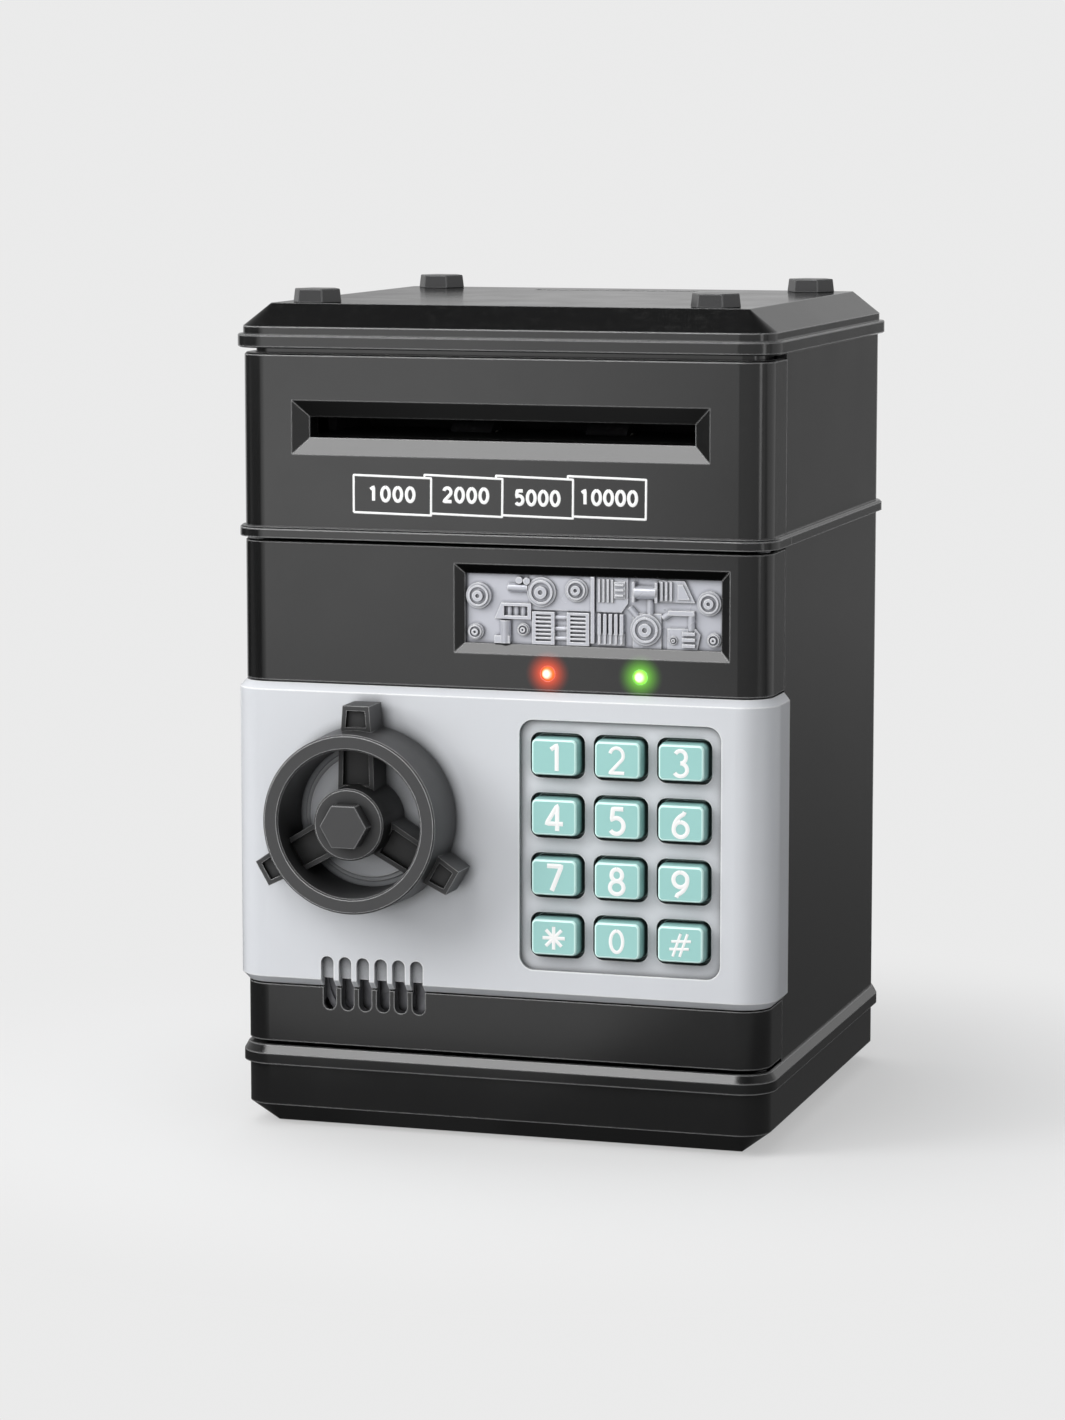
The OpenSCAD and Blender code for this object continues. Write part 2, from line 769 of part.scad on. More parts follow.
module key_board() {
    color(board)
    union() {
        box(pad_x - 25, key_board_y, pad_z - 30, 50, board_t, 60);
        for (i = [0 : 4])
            box(pad_x - 12 + i * 5, key_board_y + board_t - 0.1, pad_z + 8, 2.4, 0.9, 1.4);
        box(pad_x - 9, key_board_y + board_t - 0.1, pad_z - 14, 18, 1.4, 5);
    }
}

module door_liner() {
    color(black)
    union() {
        box(liner_x0, liner_y, liner_z0, liner_x1 - liner_x0, liner_t, liner_z1 - liner_z0);
        for (x = [liner_x0, liner_x1 - 1.6])
            box(x, liner_y - 2.4, liner_z0, 1.6, 3, liner_z1 - liner_z0);
        for (z = [liner_z0, liner_z1 - 1.6])
            box(liner_x0, liner_y - 2.4, z, liner_x1 - liner_x0, 3, 1.6);
        for (p = liner_posts)
            rod_y(p[0], front_in + 0.1, p[1], 2, liner_y - front_in + 0.5);
        // stiffening ribs on the side toward the money
        for (i = [1 : 3])
            box(liner_x0 + 6, liner_y + liner_t - 0.1, liner_z0 + i * 24 - 0.6,
                liner_x1 - liner_x0 - 12, 0.7, 1.2);
    }
}

module lamp(x) {
    translate([0, front_y + 0.4, 0]) {
        translate([x, 0, lamp_z])
            sphere(r = lamp_r);
        rod_y(x, 0, lamp_z, lamp_r, wall + 0.6);
        rod_y(x, wall - 0.3, lamp_z, lamp_r + 0.5, 0.9);
        for (dx = [-0.6, 0.6])
            rod_y(x + dx, wall, lamp_z, 0.25, sound_y - front_in - 0.5);
    }
}

sound_y = front_y + 8.6;

module lamp_red() {
    color([0.9, 0.15, 0.1])
    lamp(lamp_red_x);
}

module lamp_green() {
    color([0.3, 0.85, 0.2])
    lamp(lamp_green_x);
}

module sound_board() {
    z0 = 103.5;
    color(board)
    union() {
        box(-6, sound_y, z0, 56, board_t, 24);
        box(5, sound_y + board_t - 0.1, z0 + 10, 9, 1.3, 9);
        box(24, sound_y + board_t - 0.1, z0 + 12, 14, 1.1, 5);
        for (i = [0 : 2])
            rod_y(-1.5 + 4.6 * i, sound_y + board_t - 0.1, z0 + 4.5, 1.9, 2.2);
        for (i = [0 : 5])
            box(22 + 3.6 * i, sound_y + board_t - 0.1, z0 + 5, 2, 0.7, 1.2);
    }
}

module speaker() {
    y0 = front_in + 0.1;
    color(steel)
    difference() {
        union() {
            rod_y(wheel_x, y0, speaker_z, speaker_r, 1.6);
            rod_y(wheel_x, y0 + 1.5, speaker_z, speaker_r - 3.5, 2.5);
            rod_y(wheel_x, y0 + 3, speaker_z, 7.5, 4.5);
        }
        rod_y(wheel_x, y0 - 1, speaker_z, speaker_r - 1.4, 1.7);
        difference() {
            rod_y(wheel_x, y0 - 1, speaker_z, speaker_r - 3, 2.1);
            rod_y(wheel_x, y0 - 2, speaker_z, 4.2, 6);
        }
    }
}

// Machinery relief behind the window

relief_t = 1.5;
relief_y = front_y + win_depth + 0.1;
plate_w = win_x1 - win_x0 - 2 * win_inset;
plate_h = win_z1 - win_z0 - 2 * win_inset;

// Place on the plate: u to the right and v down, each from 0 to 1
function px(u) = win_x0 + win_inset + u * plate_w;
function pz(v) = win_z1 - win_inset - v * plate_h;

module raised(u0, v0, u1, v1, h) {
    box(px(u0), relief_y - h, pz(v1), px(u1) - px(u0), h + 0.3, pz(v0) - pz(v1));
}

module knob(u, v, r, h) {
    rod_y(px(u), relief_y - h, pz(v), r, h + 0.3);
}

// Flat form by its corners on the plate
module raised_form(corners, h) {
    along_y(relief_y - h, h + 0.3)
        polygon([for (c = corners) [px(c[0]), pz(c[1])]]);
}

// Round boss with stepped rings
module boss(u, v, r, h) {
    difference() {
        union() {
            knob(u, v, r, h * 0.55);
            knob(u, v, r * 0.82, h * 0.8);
            knob(u, v, r * 0.42, h);
        }
        difference() {
            rod_y(px(u), relief_y - h, pz(v), r * 0.66, h * 0.45);
            rod_y(px(u), relief_y - h - 1, pz(v), r * 0.42, h + 2);
        }
        rod_y(px(u), relief_y - h - 1, pz(v), r * 0.16, 1.5);
    }
}

// Pipe lying on the plate between two places
module pipe(u0, v0, u1, v1, r) {
    dx = px(u1) - px(u0);
    dz = pz(v1) - pz(v0);
    translate([px(u0), relief_y - r * 0.5, pz(v0)])
        rotate([0, atan2(dx, dz), 0])
            cylinder(r = r, h = sqrt(dx * dx + dz * dz));
}

// Framed plate with seven sunk slots
module louvres(u0, v0, u1, v1) {
    rows = 7;
    step = (v1 - v0 - 0.06) / rows;
    difference() {
        raised(u0, v0, u1, v1, 1.2);
        for (i = [0 : rows - 1])
            raised_gap(u0 + 0.014, v0 + 0.04 + step * i, u1 - 0.014, v0 + 0.04 + step * (i + 0.5), 1.2);
    }
}

// Space that leaves only the foot of a raised form
module raised_gap(u0, v0, u1, v1, h) {
    box(px(u0), relief_y - h - 1, pz(v1), px(u1) - px(u0), h + 0.7, pz(v0) - pz(v1));
}

module relief() {
    color(silver)
    union() {
        box(win_x0 - 1, relief_y, win_z0 + 0.6, win_x1 - win_x0 + 2, relief_t, win_z1 - win_z0 - 1.2);
        for (u = [0.15, 0.85])
            rod_y(px(u), relief_y + relief_t - 0.2, pz(0.3), 1.5, sound_y - relief_y - relief_t + 0.15);
        // bosses and the small pump on the left
        boss(0.052, 0.32, 2.9, 2);
        boss(0.04, 0.84, 1.8, 1.8);
        pipe(0.168, 0.19, 0.246, 0.19, 0.95);
        knob(0.214, 0.08, 0.8, 1.5);
        knob(0.243, 0.09, 0.8, 1.5);
        difference() {
            raised_form([[0.116, 0.64], [0.142, 0.41], [0.26, 0.41], [0.26, 0.64]], 1.2);
            raised(0.153, 0.455, 0.246, 0.59, 1.4);
        }
        for (i = [0 : 2])
            pipe(0.172 + i * 0.027, 0.44, 0.172 + i * 0.027, 0.6, 0.55);
        pipe(0.157, 0.66, 0.157, 0.99, 1.25);
        raised(0.117, 0.88, 0.178, 0.99, 1.6);
        boss(0.228, 0.79, 1.45, 1.6);
        // raised field with its two large bosses and two louvred plates
        raised(0.25, 0, 0.492, 0.5, 0.6);
        boss(0.301, 0.24, 3.3, 2.2);
        boss(0.437, 0.2, 2.6, 2);
        for (u = [0.264, 0.4])
            louvres(u, 0.52, u + 0.088, 0.99);
        for (v = [0.6, 0.76, 0.9])
            pipe(0.35, v, 0.402, v, 0.55);
        raised(0.494, 0, 0.508, 0.95, 1.3);
        // notched plate over the fins
        raised_form([[0.514, 0], [0.636, 0], [0.636, 0.37], [0.612, 0.5], [0.514, 0.5]], 0.7);
        for (i = [0 : 3])
            raised(0.522 + i * 0.017, 0.03, 0.53 + i * 0.017, 0.36, 1.1);
        raised(0.583, 0.06, 0.627, 0.3, 1);
        for (i = [0 : 2])
            raised(0.588, 0.09 + 0.075 * i, 0.622, 0.12 + 0.075 * i, 1.4);
        for (i = [0 : 4])
            raised(0.522 + i * 0.0215, 0.52, 0.535 + i * 0.0215, 0.82, 1.5);
        raised(0.52, 0.8, 0.624, 0.97, 1);
        for (i = [0 : 4])
            raised(0.524 + i * 0.0215, 0.82, 0.533 + i * 0.0215, 0.95, 1.4);
        // drum, ribbed housing and the pipes round the third large boss
        pipe(0.664, 0.2, 0.75, 0.2, 1.5);
        raised(0.657, 0.05, 0.667, 0.34, 1.9);
        raised(0.745, 0.05, 0.755, 0.34, 1.9);
        raised_form([[0.757, 0.02], [0.856, 0.02], [0.896, 0.33], [0.757, 0.33]], 0.8);
        for (i = [0 : 2])
            raised(0.765 + i * 0.018, 0.04, 0.774 + i * 0.018, 0.31, 1.4);
        raised_form([[0.83, 0.07], [0.85, 0.07], [0.878, 0.29], [0.83, 0.29]], 1.1);
        pipe(0.722, 0.3, 0.722, 0.6, 0.75);
        pipe(0.642, 0.42, 0.685, 0.6, 0.7);
        raised(0.655, 0.5, 0.766, 1, 0.6);
        boss(0.708, 0.73, 3.5, 2.2);
        pipe(0.772, 0.56, 0.803, 0.48, 0.72);
        raised(0.795, 0.445, 0.895, 0.515, 1.2);
        pipe(0.882, 0.49, 0.882, 0.73, 0.8);
        raised_form([[0.79, 0.7], [0.9, 0.7], [0.917, 0.78], [0.905, 1], [0.79, 1]], 0.8);
        boss(0.815, 0.87, 1.1, 1.5);
        for (i = [0 : 2])
            raised(0.85, 0.74 + i * 0.085, 0.9, 0.79 + i * 0.085, 1.7);
        boss(0.952, 0.33, 2.7, 2);
        boss(0.97, 0.85, 1.6, 1.8);
    }
}

// Handwheel and latch

arm_angles = [90, 210, 330];

// Shape turned about the wheel's axis: [radius, distance ahead of y0]
module turned_y(y0, outline) {
    translate([wheel_x, y0, wheel_z])
        rotate([90, 0, 0])
            rotate_extrude($fn = 96)
                polygon(outline);
}

module arm_slab(y0, depth, outline) {
    for (a = arm_angles)
        along_y(y0, depth)
            translate([wheel_x, wheel_z])
                rotate(a)
                    polygon(outline);
}

module wheel() {
    bore = wheel_bore_r;
    lug_in = wheel_r + 0.9;
    color(black)
    difference() {
        union() {
            turned_y(wheel_back_y, [[bore - 0.5, 0], [wheel_r + 0.4, 0], [wheel_r + 0.4, 2],
                [wheel_r, wheel_depth - 0.4], [wheel_r - 0.4, wheel_depth], [bore + 0.4, wheel_depth],
                [bore, wheel_depth - 0.4]]);
            turned_y(wheel_back_y, [[0, 0], [hub_r + 0.3, 0], [hub_r, wheel_depth - 0.4],
                [hub_r - 0.4, wheel_depth], [0, wheel_depth]]);
            arm_slab(arm_front_y, wheel_back_y - arm_front_y - 0.2, [[4, -4.3], [bore, -4], [wheel_r, -3.5],
                [lug_r, -3.1], [lug_r, 3.1], [wheel_r, 3.5], [bore, 4], [4, 4.3]]);
        }
        // recessed faces of the arms and lugs
        difference() {
            arm_slab(arm_front_y - 1, 2.4, [[hub_r, -3.1], [bore, -2.9], [bore, 2.9], [hub_r, 3.1]]);
            turned_y(wheel_back_y, [[0, -1], [hub_r + 0.3, -1], [hub_r, wheel_depth + 1],
                [0, wheel_depth + 1]]);
        }
        arm_slab(arm_front_y - 1, 1.9, [[lug_in, -2.4], [lug_r - 1.1, -2.1], [lug_r - 1.1, 2.1],
            [lug_in, 2.4]]);
        rod_y(wheel_x, wheel_front_y - 1, wheel_z, spindle_r + 0.02, wheel_depth + 2);
    }
}

module spindle() {
    color(black)
    union() {
        along_y(wheel_front_y - hex_h, hex_h)
            translate([wheel_x, wheel_z])
                circle(d = hex_flats / cos(30), $fn = 6);
        rod_y(wheel_x, wheel_front_y - 0.5, wheel_z, spindle_r,
            latch_y + latch_t / 2 + 1 - wheel_front_y + 0.5);
        rod_y(wheel_x, front_in + 0.2, wheel_z, spindle_r + 1.6, 1);
    }
}

module latch_pinion() {
    color(brass)
    difference() {
        along_y(latch_y - latch_t / 2, latch_t)
            translate([wheel_x, wheel_z])
                rotate(90)
                    gear_outline(latch_module, latch_teeth, 0.12);
        rod_y(wheel_x, latch_y - latch_t, wheel_z, spindle_r + 0.02, 2 * latch_t);
    }
}

module latch_bolt() {
    pitch = PI * latch_module;
    top = bar_z0 + bar_h;
    ramp_x = plunger_x - plunger_r - 0.1;
    ramp_end = plunger_x + latch_travel + plunger_r + 0.3;
    root = rack_z + 1.2 * latch_module;
    color(steel)
    along_y(latch_y - latch_t / 2, latch_t)
        difference() {
            union() {
                polygon([[bolt_tip_x, bar_z0 + 0.8], [bolt_tip_x + 0.8, bar_z0], [bolt_tip_x + bar_l, bar_z0],
                    [bolt_tip_x + bar_l, top], [bolt_tip_x + 0.8, top], [bolt_tip_x, top - 0.8]]);
                translate([wheel_x - 1.5 * pitch, root])
                    square([7 * pitch, bar_z0 - root + 0.2]);
                for (k = [-1 : 5])
                    translate([wheel_x + (k - 0.5) * pitch, rack_z])
                        polygon([[-pitch / 4 - 0.31, 1.2 * latch_module + 0.1],
                            [-pitch / 4 + 0.36, -latch_module],
                            [pitch / 4 - 0.36, -latch_module],
                            [pitch / 4 + 0.31, 1.2 * latch_module + 0.1]]);
            }
            polygon([[ramp_x, top + 1], [ramp_x, top], [ramp_end, top - plunger_slope * (ramp_end - ramp_x)],
                [ramp_end, top + 1]]);
        }
}

module latch_guide() {
    y0 = front_in + 0.1;
    depth = latch_y + latch_t / 2 + 1.6 - y0;
    top = bar_z0 + bar_h + slide_fit;
    color(black)
    for (place = [[bolt_tip_x + 1.5, bar_z0 - slide_fit], [wheel_x + 7, rack_z - latch_module - slide_fit]])
        difference() {
            box(place[0], y0, bar_z0 - 3.4, 3, depth, bar_h + 5.4);
            box(place[0] - 1, latch_y - latch_t / 2 - slide_fit, place[1],
                5, latch_t + 2 * slide_fit, top - place[1]);
        }
}

module keeper() {
    y0 = latch_y - latch_t / 2 - 1.9;
    color(steel)
    difference() {
        box(-side_in + 0.4, y0, bar_z0 - 5, keeper_t, seam_y + 14 - y0, bar_h + 10);
        box(-side_in, latch_y - latch_t / 2 - 0.4, bar_z0 - 0.4, keeper_t + 1, latch_t + 0.8, bar_h + 0.8);
    }
}

solenoid_z0 = bar_z0 + bar_h + 4;
solenoid_h = 16;

module solenoid() {
    color(steel)
    difference() {
        union() {
            box(plunger_x - 5.5, latch_y - 4, solenoid_z0, 11, 8, solenoid_h);
            box(plunger_x - 4, front_in + 0.1, solenoid_z0 + 3, 8, latch_y - front_in - 3.8, 8);
            rod_z(plunger_x, latch_y, solenoid_z0 - 0.8, 3.4, solenoid_h + 1.6);
        }
        rod_z(plunger_x, latch_y, solenoid_z0 - 2, plunger_r + run_fit, solenoid_h + 4);
    }
}

module plunger() {
    z0 = bar_z0 + bar_h + 0.05;
    color(brass)
    union() {
        rod_z(plunger_x, latch_y, z0, plunger_r, solenoid_z0 + solenoid_h + plunger_lift + 2.6 - z0);
        rod_z(plunger_x, latch_y, solenoid_z0 + solenoid_h + plunger_lift + 1.6, 2.6, 1.4);
    }
}

// Bill mechanism

// First tooth angle of a gear meshed with another that lies in direction d from it
function mesh_phase(d, phase, n_from, n_to) = d + 180 + (d - phase) * n_from / n_to + 180 / n_to;
lower_phase = 90;
upper_phase = mesh_phase(90, lower_phase, roller_teeth, roller_teeth);
idler_phase = mesh_phase(0, lower_phase, roller_teeth, idler_teeth);
pinion_phase = mesh_phase(pinion_dir, idler_phase, idler_teeth, pinion_teeth);
guide_t = 1.2;
guide_gap = bill_slot_h / 2 + 0.1;
guide_y0 = front_y + 7.4;
turn_r = 13;
turn_y = roller_y + 6;
turn_z = bill_z + guide_gap - turn_r;

module gear_x(y, z, phase, teeth) {
    along_x(gear_x, gear_t)
        translate([y, z])
            rotate(phase)
                gear_outline(gear_module, teeth, 0.12);
}

module deck() {
    color(black)
    difference() {
        rr_prism(2 * side_in - 2 * slide_fit, 2 * back_in - 2 * slide_fit, corner_r - wall, deck_z,
            deck_z + deck_t);
        box(-body_w, -body_d, deck_z - 1, 2 * body_w, body_d + guide_y0, deck_t + 2);
        for (sx = [-1, 1])
            box(sx > 0 ? side_in - 4 : -side_in - 1, guide_y0 - 1, deck_z - 1,
                5, seam_y + 6 - guide_y0 + 1, deck_t + 2);
        // bills fall here
        box(-bill_slot_w / 2 + 1, turn_y - 2, deck_z - 1, bill_slot_w - 2, turn_r + 5, deck_t + 2);
        // coins fall here
        box(-coin_slot_l / 2 - 1, coin_y - coin_slot_w / 2 - 1, deck_z - 1, coin_slot_l + 2, coin_slot_w + 2,
            deck_t + 2);
    }
}

module feed_frame() {
    cheek_l = idler_y + 9 - feed_y0;
    top_z = motor_z + 8;
    color(white)
    difference() {
        union() {
            box(cheek_x, feed_y0, deck_z + deck_t, cheek_t, cheek_l, top_z - deck_z - deck_t);
            box(-cheek_x - cheek_t, feed_y0, deck_z + deck_t,
                cheek_t, cheek_l, upper_z + 5 - deck_z - deck_t);
            for (sx = [-1, 1])
                box(sx > 0 ? cheek_x - 5 : -cheek_x - cheek_t, feed_y0 + 20, deck_z + deck_t,
                    7, cheek_l - 20, 1.6);
            // guides above and below the bill
            box(-cheek_x - 0.5, guide_y0, bill_z - guide_gap - guide_t,
                2 * cheek_x + 1, turn_y - 1 - guide_y0, guide_t);
            box(-cheek_x - 0.5, guide_y0, bill_z + guide_gap,
                2 * cheek_x + 1, turn_y - guide_y0 + 0.2, guide_t);
            // curved guide that turns the bill down
            along_x(-cheek_x - 0.5, 2 * cheek_x + 1)
                translate([turn_y, turn_z])
                    intersection() {
                        difference() {
                            circle(r = turn_r + guide_t);
                            circle(r = turn_r);
                        }
                        square(turn_r + 3);
                    }
            rod_x(cheek_x + cheek_t - 0.5, idler_y, lower_z, shaft_r, gear_t + 2.3);
        }
        for (z = [lower_z, upper_z])
            rod_x(-cheek_x - 5, roller_y, z, shaft_r + run_fit, 2 * cheek_x + 10);
        for (sx = [-1, 1])
            box(sx * tyre_x - tyre_w / 2 - 1, roller_y - 5.6, bill_z - 9, tyre_w + 2, 11.2, 18);
        rod_x(cheek_x - 1, motor_y, motor_z, 2.2, cheek_t + 2);
        // shafts pass the guide plates
        for (z = [lower_z, upper_z])
            box(-cheek_x + eps, roller_y - 2, z - 2, 2 * cheek_x - 2 * eps, 4, 4);
    }
}

module feed_motor() {
    length = 24;
    color(steel)
    difference() {
        union() {
            intersection() {
                rod_x(cheek_x - length - 0.1, motor_y, motor_z, 8, length);
                box(0, motor_y - 9, motor_z - 6.2, cheek_x, 18, 12.4);
            }
            rod_x(cheek_x - 0.5, motor_y, motor_z, 2, 1.8);
            rod_x(cheek_x - length - 1.5, motor_y, motor_z, 2.6, 2);
        }
        rod_x(cheek_x - 8, motor_y, motor_z, 1 + run_fit, 12);
    }
}

module motor_pinion() {
    color(white)
    union() {
        gear_x(motor_y, motor_z, pinion_phase, pinion_teeth);
        rod_x(cheek_x - 7.5, motor_y, motor_z, 1, gear_x + gear_t - cheek_x + 8.5);
    }
}

module idler_gear() {
    color(white)
    difference() {
        gear_x(idler_y, lower_z, idler_phase, idler_teeth);
        rod_x(gear_x - 1, idler_y, lower_z, shaft_r + run_fit, gear_t + 2);
        difference() {
            rod_x(gear_x + gear_t - 1.4, idler_y, lower_z, 10, 3);
            rod_x(gear_x, idler_y, lower_z, 4, gear_t + 2);
        }
    }
}

module roller(z, phase) {
    color(steel)
    union() {
        rod_x(-cheek_x - cheek_t - 1, roller_y, z, shaft_r, cheek_x + cheek_t + 1 + gear_x + gear_t + 0.5);
        for (sx = [-1, 1])
            rod_x(sx * tyre_x - tyre_w / 2, roller_y, z, 2.6, tyre_w);
        gear_x(roller_y, z, phase, roller_teeth);
    }
}

module tyres(z) {
    color(rubber)
    for (sx = [-1, 1])
        difference() {
            rod_x(sx * tyre_x - tyre_w / 2 + 0.2, roller_y, z, tyre_r, tyre_w - 0.4);
            rod_x(sx * tyre_x - tyre_w / 2 - 1, roller_y, z, 2.62, tyre_w + 2);
        }
}

module roller_lower() roller(lower_z, lower_phase);
module roller_upper() roller(upper_z, upper_phase);
module tyres_lower() tyres(lower_z);
module tyres_upper() tyres(upper_z);

module coin_chute() {
    z0 = deck_z + deck_t + 0.1;
    z1 = body_h - 2.5;
    color(black)
    difference() {
        union() {
            box(-coin_slot_l / 2 - 3, coin_y - coin_slot_w / 2 - 2.6, z0,
                coin_slot_l + 6, coin_slot_w + 5.2, z1 - z0);
            box(-coin_slot_l / 2 - 6, coin_y - coin_slot_w / 2 - 4, z0,
                coin_slot_l + 12, coin_slot_w + 8, 1.6);
        }
        box(-coin_slot_l / 2 - 1, coin_y - coin_slot_w / 2 - 1, z0 - 1,
            coin_slot_l + 2, coin_slot_w + 2, z1 - z0 + 2);
    }
}

// Battery bay

module battery_cover() {
    y0 = bay_y0 - 2 + slide_fit;
    rear = back_y - base_edge - 0.3;
    slope = base_edge / base_edge_h;
    color(black)
    difference() {
        union() {
            along_x(-bay_l / 2 - 1 + slide_fit, bay_l + 2 - 2 * slide_fit)
                polygon([[y0, 0.1], [rear, 0.1], [rear + 1.4 * slope, 1.5], [y0, 1.5]]);
            along_x(-bay_l / 2 - 3 + slide_fit, bay_l + 6 - 2 * slide_fit)
                polygon([[y0, cover_lip + 0.1], [rear + cover_lip * slope, cover_lip + 0.1],
                    [rear + (cover_t - 0.1) * slope, cover_t - 0.1], [y0, cover_t - 0.1]]);
        }
        // grip grooves
        for (i = [0 : 4])
            box(-8, rear - 14 + 2.4 * i, -1, 16, 1, 1.5);
    }
}

module cells() {
    color([0.75, 0.72, 0.3])
    for (i = [0 : 2])
        let (s = i == 1 ? -1 : 1, y = bay_y0 + bay_w / 2 + (i - 1) * cell_pitch)
        translate([s * 0.5, y, cell_z])
            rotate([0, 90 * s, 0]) {
                translate([0, 0, -cell_l / 2])
                    cylinder(r = cell_r, h = cell_l);
                translate([0, 0, cell_l / 2 - 0.1])
                    cylinder(r = 2.7, h = 1.1);
            }
}

module contacts() {
    coil_r = 3.2;
    wire_r = 0.35;
    color(brass)
    for (i = [0 : 2])
        let (s = i == 1 ? -1 : 1, y = bay_y0 + bay_w / 2 + (i - 1) * cell_pitch) {
            for (e = [-1, 1])
                box(e > 0 ? bay_l / 2 - 0.6 : -bay_l / 2 + 0.1, y - 6, cell_z - 5, 0.5, 12, 10);
            for (k = [0 : 5])
                translate([-s * (bay_l / 2 - 1.1 - k), y, cell_z])
                    rotate([0, 90, 0])
                        rotate_extrude($fn = 32)
                            translate([coil_r, 0])
                                circle(r = wire_r, $fn = 16);
            rod_x(s > 0 ? bay_l / 2 - 4.2 : -bay_l / 2 + 0.5, y, cell_z, 3, 3.7);
        }
}

base();
case();
fascia();
lid();
lid_bolts();
door();
panel();
relief();
wheel();
spindle();
latch_pinion();
latch_bolt();
latch_guide();
keeper();
solenoid();
plunger();
key_1();
key_2();
key_3();
key_4();
key_5();
key_6();
key_7();
key_8();
key_9();
key_star();
key_0();
key_hash();
dome_mat();
key_board();
door_liner();
lamp_red();
lamp_green();
sound_board();
speaker();
deck();
feed_frame();
feed_motor();
motor_pinion();
idler_gear();
roller_lower();
roller_upper();
tyres_lower();
tyres_upper();
coin_chute();
battery_cover();
cells();
contacts();
hinge_pins();
base_screws();
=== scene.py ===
"""Looks of a keypad savings bank in the shape of a small safe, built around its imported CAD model.

Lengths are in metres, in the CAD model's frame: +Z is up, the front faces -Y and +X is to the right
seen from the front. The CAD pieces keep their places. Merged copies stand for a few mouldings, to
round or trim them, every piece gets a procedural finish, and the signs and numbers are added.
"""

from __future__ import annotations

import json
import logging
import math
from dataclasses import dataclass, field
from enum import Enum
from functools import partial, reduce

import bpy
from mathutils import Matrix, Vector

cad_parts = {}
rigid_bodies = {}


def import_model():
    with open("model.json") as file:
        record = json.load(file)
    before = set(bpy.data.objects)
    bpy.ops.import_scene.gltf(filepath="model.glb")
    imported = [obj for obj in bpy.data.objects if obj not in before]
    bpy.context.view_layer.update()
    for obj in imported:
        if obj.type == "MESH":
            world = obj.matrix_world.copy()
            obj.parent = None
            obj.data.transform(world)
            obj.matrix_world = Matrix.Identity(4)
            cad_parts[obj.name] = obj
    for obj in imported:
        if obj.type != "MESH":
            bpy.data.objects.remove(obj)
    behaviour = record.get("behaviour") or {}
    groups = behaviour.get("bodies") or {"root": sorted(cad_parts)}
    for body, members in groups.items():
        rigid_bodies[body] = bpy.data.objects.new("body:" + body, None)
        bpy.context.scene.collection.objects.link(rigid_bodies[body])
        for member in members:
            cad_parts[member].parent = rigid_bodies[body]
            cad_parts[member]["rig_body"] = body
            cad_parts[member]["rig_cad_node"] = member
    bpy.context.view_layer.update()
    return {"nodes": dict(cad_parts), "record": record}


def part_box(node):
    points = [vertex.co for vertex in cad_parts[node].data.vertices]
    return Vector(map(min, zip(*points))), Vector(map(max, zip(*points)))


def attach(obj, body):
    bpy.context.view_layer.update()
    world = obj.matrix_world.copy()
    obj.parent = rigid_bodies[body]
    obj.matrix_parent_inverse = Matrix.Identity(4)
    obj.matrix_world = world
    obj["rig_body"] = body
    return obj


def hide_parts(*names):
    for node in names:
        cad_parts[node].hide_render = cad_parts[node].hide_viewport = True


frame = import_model()

log = logging.getLogger("bank")

MM = 0.001
SLOTS = {part["node"]: part["material_slot"] for part in frame["record"]["subparts"]}
HOUSING = "housing"
BAND_OUT = 1.3 * MM  # how far the rim bands stand out from the front face

CAD_MERGE = 0.002 * MM  # distance at which a CAD copy's loose corners are merged
INK_MERGE = 0.001 * MM
FLAT_ANGLE = math.radians(0.6)  # CAD faces that turn less than this are one face
SMOOTH_ANGLE = math.radians(50)  # faces that turn less than this are shaded as one
FACE_WEIGHT = 80  # how far large faces pull the normals at their edges

FULL_DUST = 0.16  # how much of it lies on a plastic at full wear
PALE_DUST = (0.55, 0.54, 0.52)
COAT_ROUGHNESS = 0.08
GRAIN_HEIGHT = 0.4 * MM
RIM_WIDTH = 1.5  # how far the painted highlight on an edge reaches, as a share of the edge's radius
# the narrowest painted highlight on an edge
LEAST_RIM = 0.1 * MM

Point2 = tuple[float, float]
Colour = tuple[float, float, float]
Stroke = list[Point2]
Piece = bpy.types.Object
Material = bpy.types.Material
Node = bpy.types.Node
Socket = bpy.types.NodeSocket
Tree = bpy.types.NodeTree
Outputs = bpy.types.NodeOutputs
Feed = dict[str | int, Socket | Colour | float]


class Wear(Enum):
    """How much a surface shows of dust and handling."""

    NEW = 0.25
    HANDLED = 0.6
    HIDDEN = 1.0


# Mesh helpers


def deselect_all() -> None:
    """Leaves object mode with nothing selected."""
    if bpy.context.object and bpy.context.object.mode != "OBJECT":
        bpy.ops.object.mode_set(mode="OBJECT")
    bpy.ops.object.select_all(action="DESELECT")


def pick(piece: Piece) -> None:
    """Makes one object the selected and active one."""
    deselect_all()
    piece.select_set(True)
    bpy.context.view_layer.objects.active = piece


def settle(piece: Piece, name: str) -> Piece:
    """Applies an object's place to its mesh and names it.

    Args:
        piece: the object, wherever it stands.
        name: its name in the scene.

    Returns:
        The same object, now at the origin.
    """
    pick(piece)
    bpy.ops.object.transform_apply(location=True, rotation=True, scale=True)
    piece.name = name
    piece.data.name = name
    return piece


def apply_modifier(piece: Piece, kind: str, **settings: float | int | str | bool) -> None:
    """Adds a modifier with its settings and applies it at once.

    Args:
        piece: the mesh object to change.
        kind: the modifier's type, such as BEVEL.
        settings: the modifier's own settings by name.
    """
    pick(piece)
    modifier = piece.modifiers.new(kind.title(), kind)
    for key, value in settings.items():
        setattr(modifier, key, value)
    bpy.ops.object.modifier_apply(modifier=modifier.name)


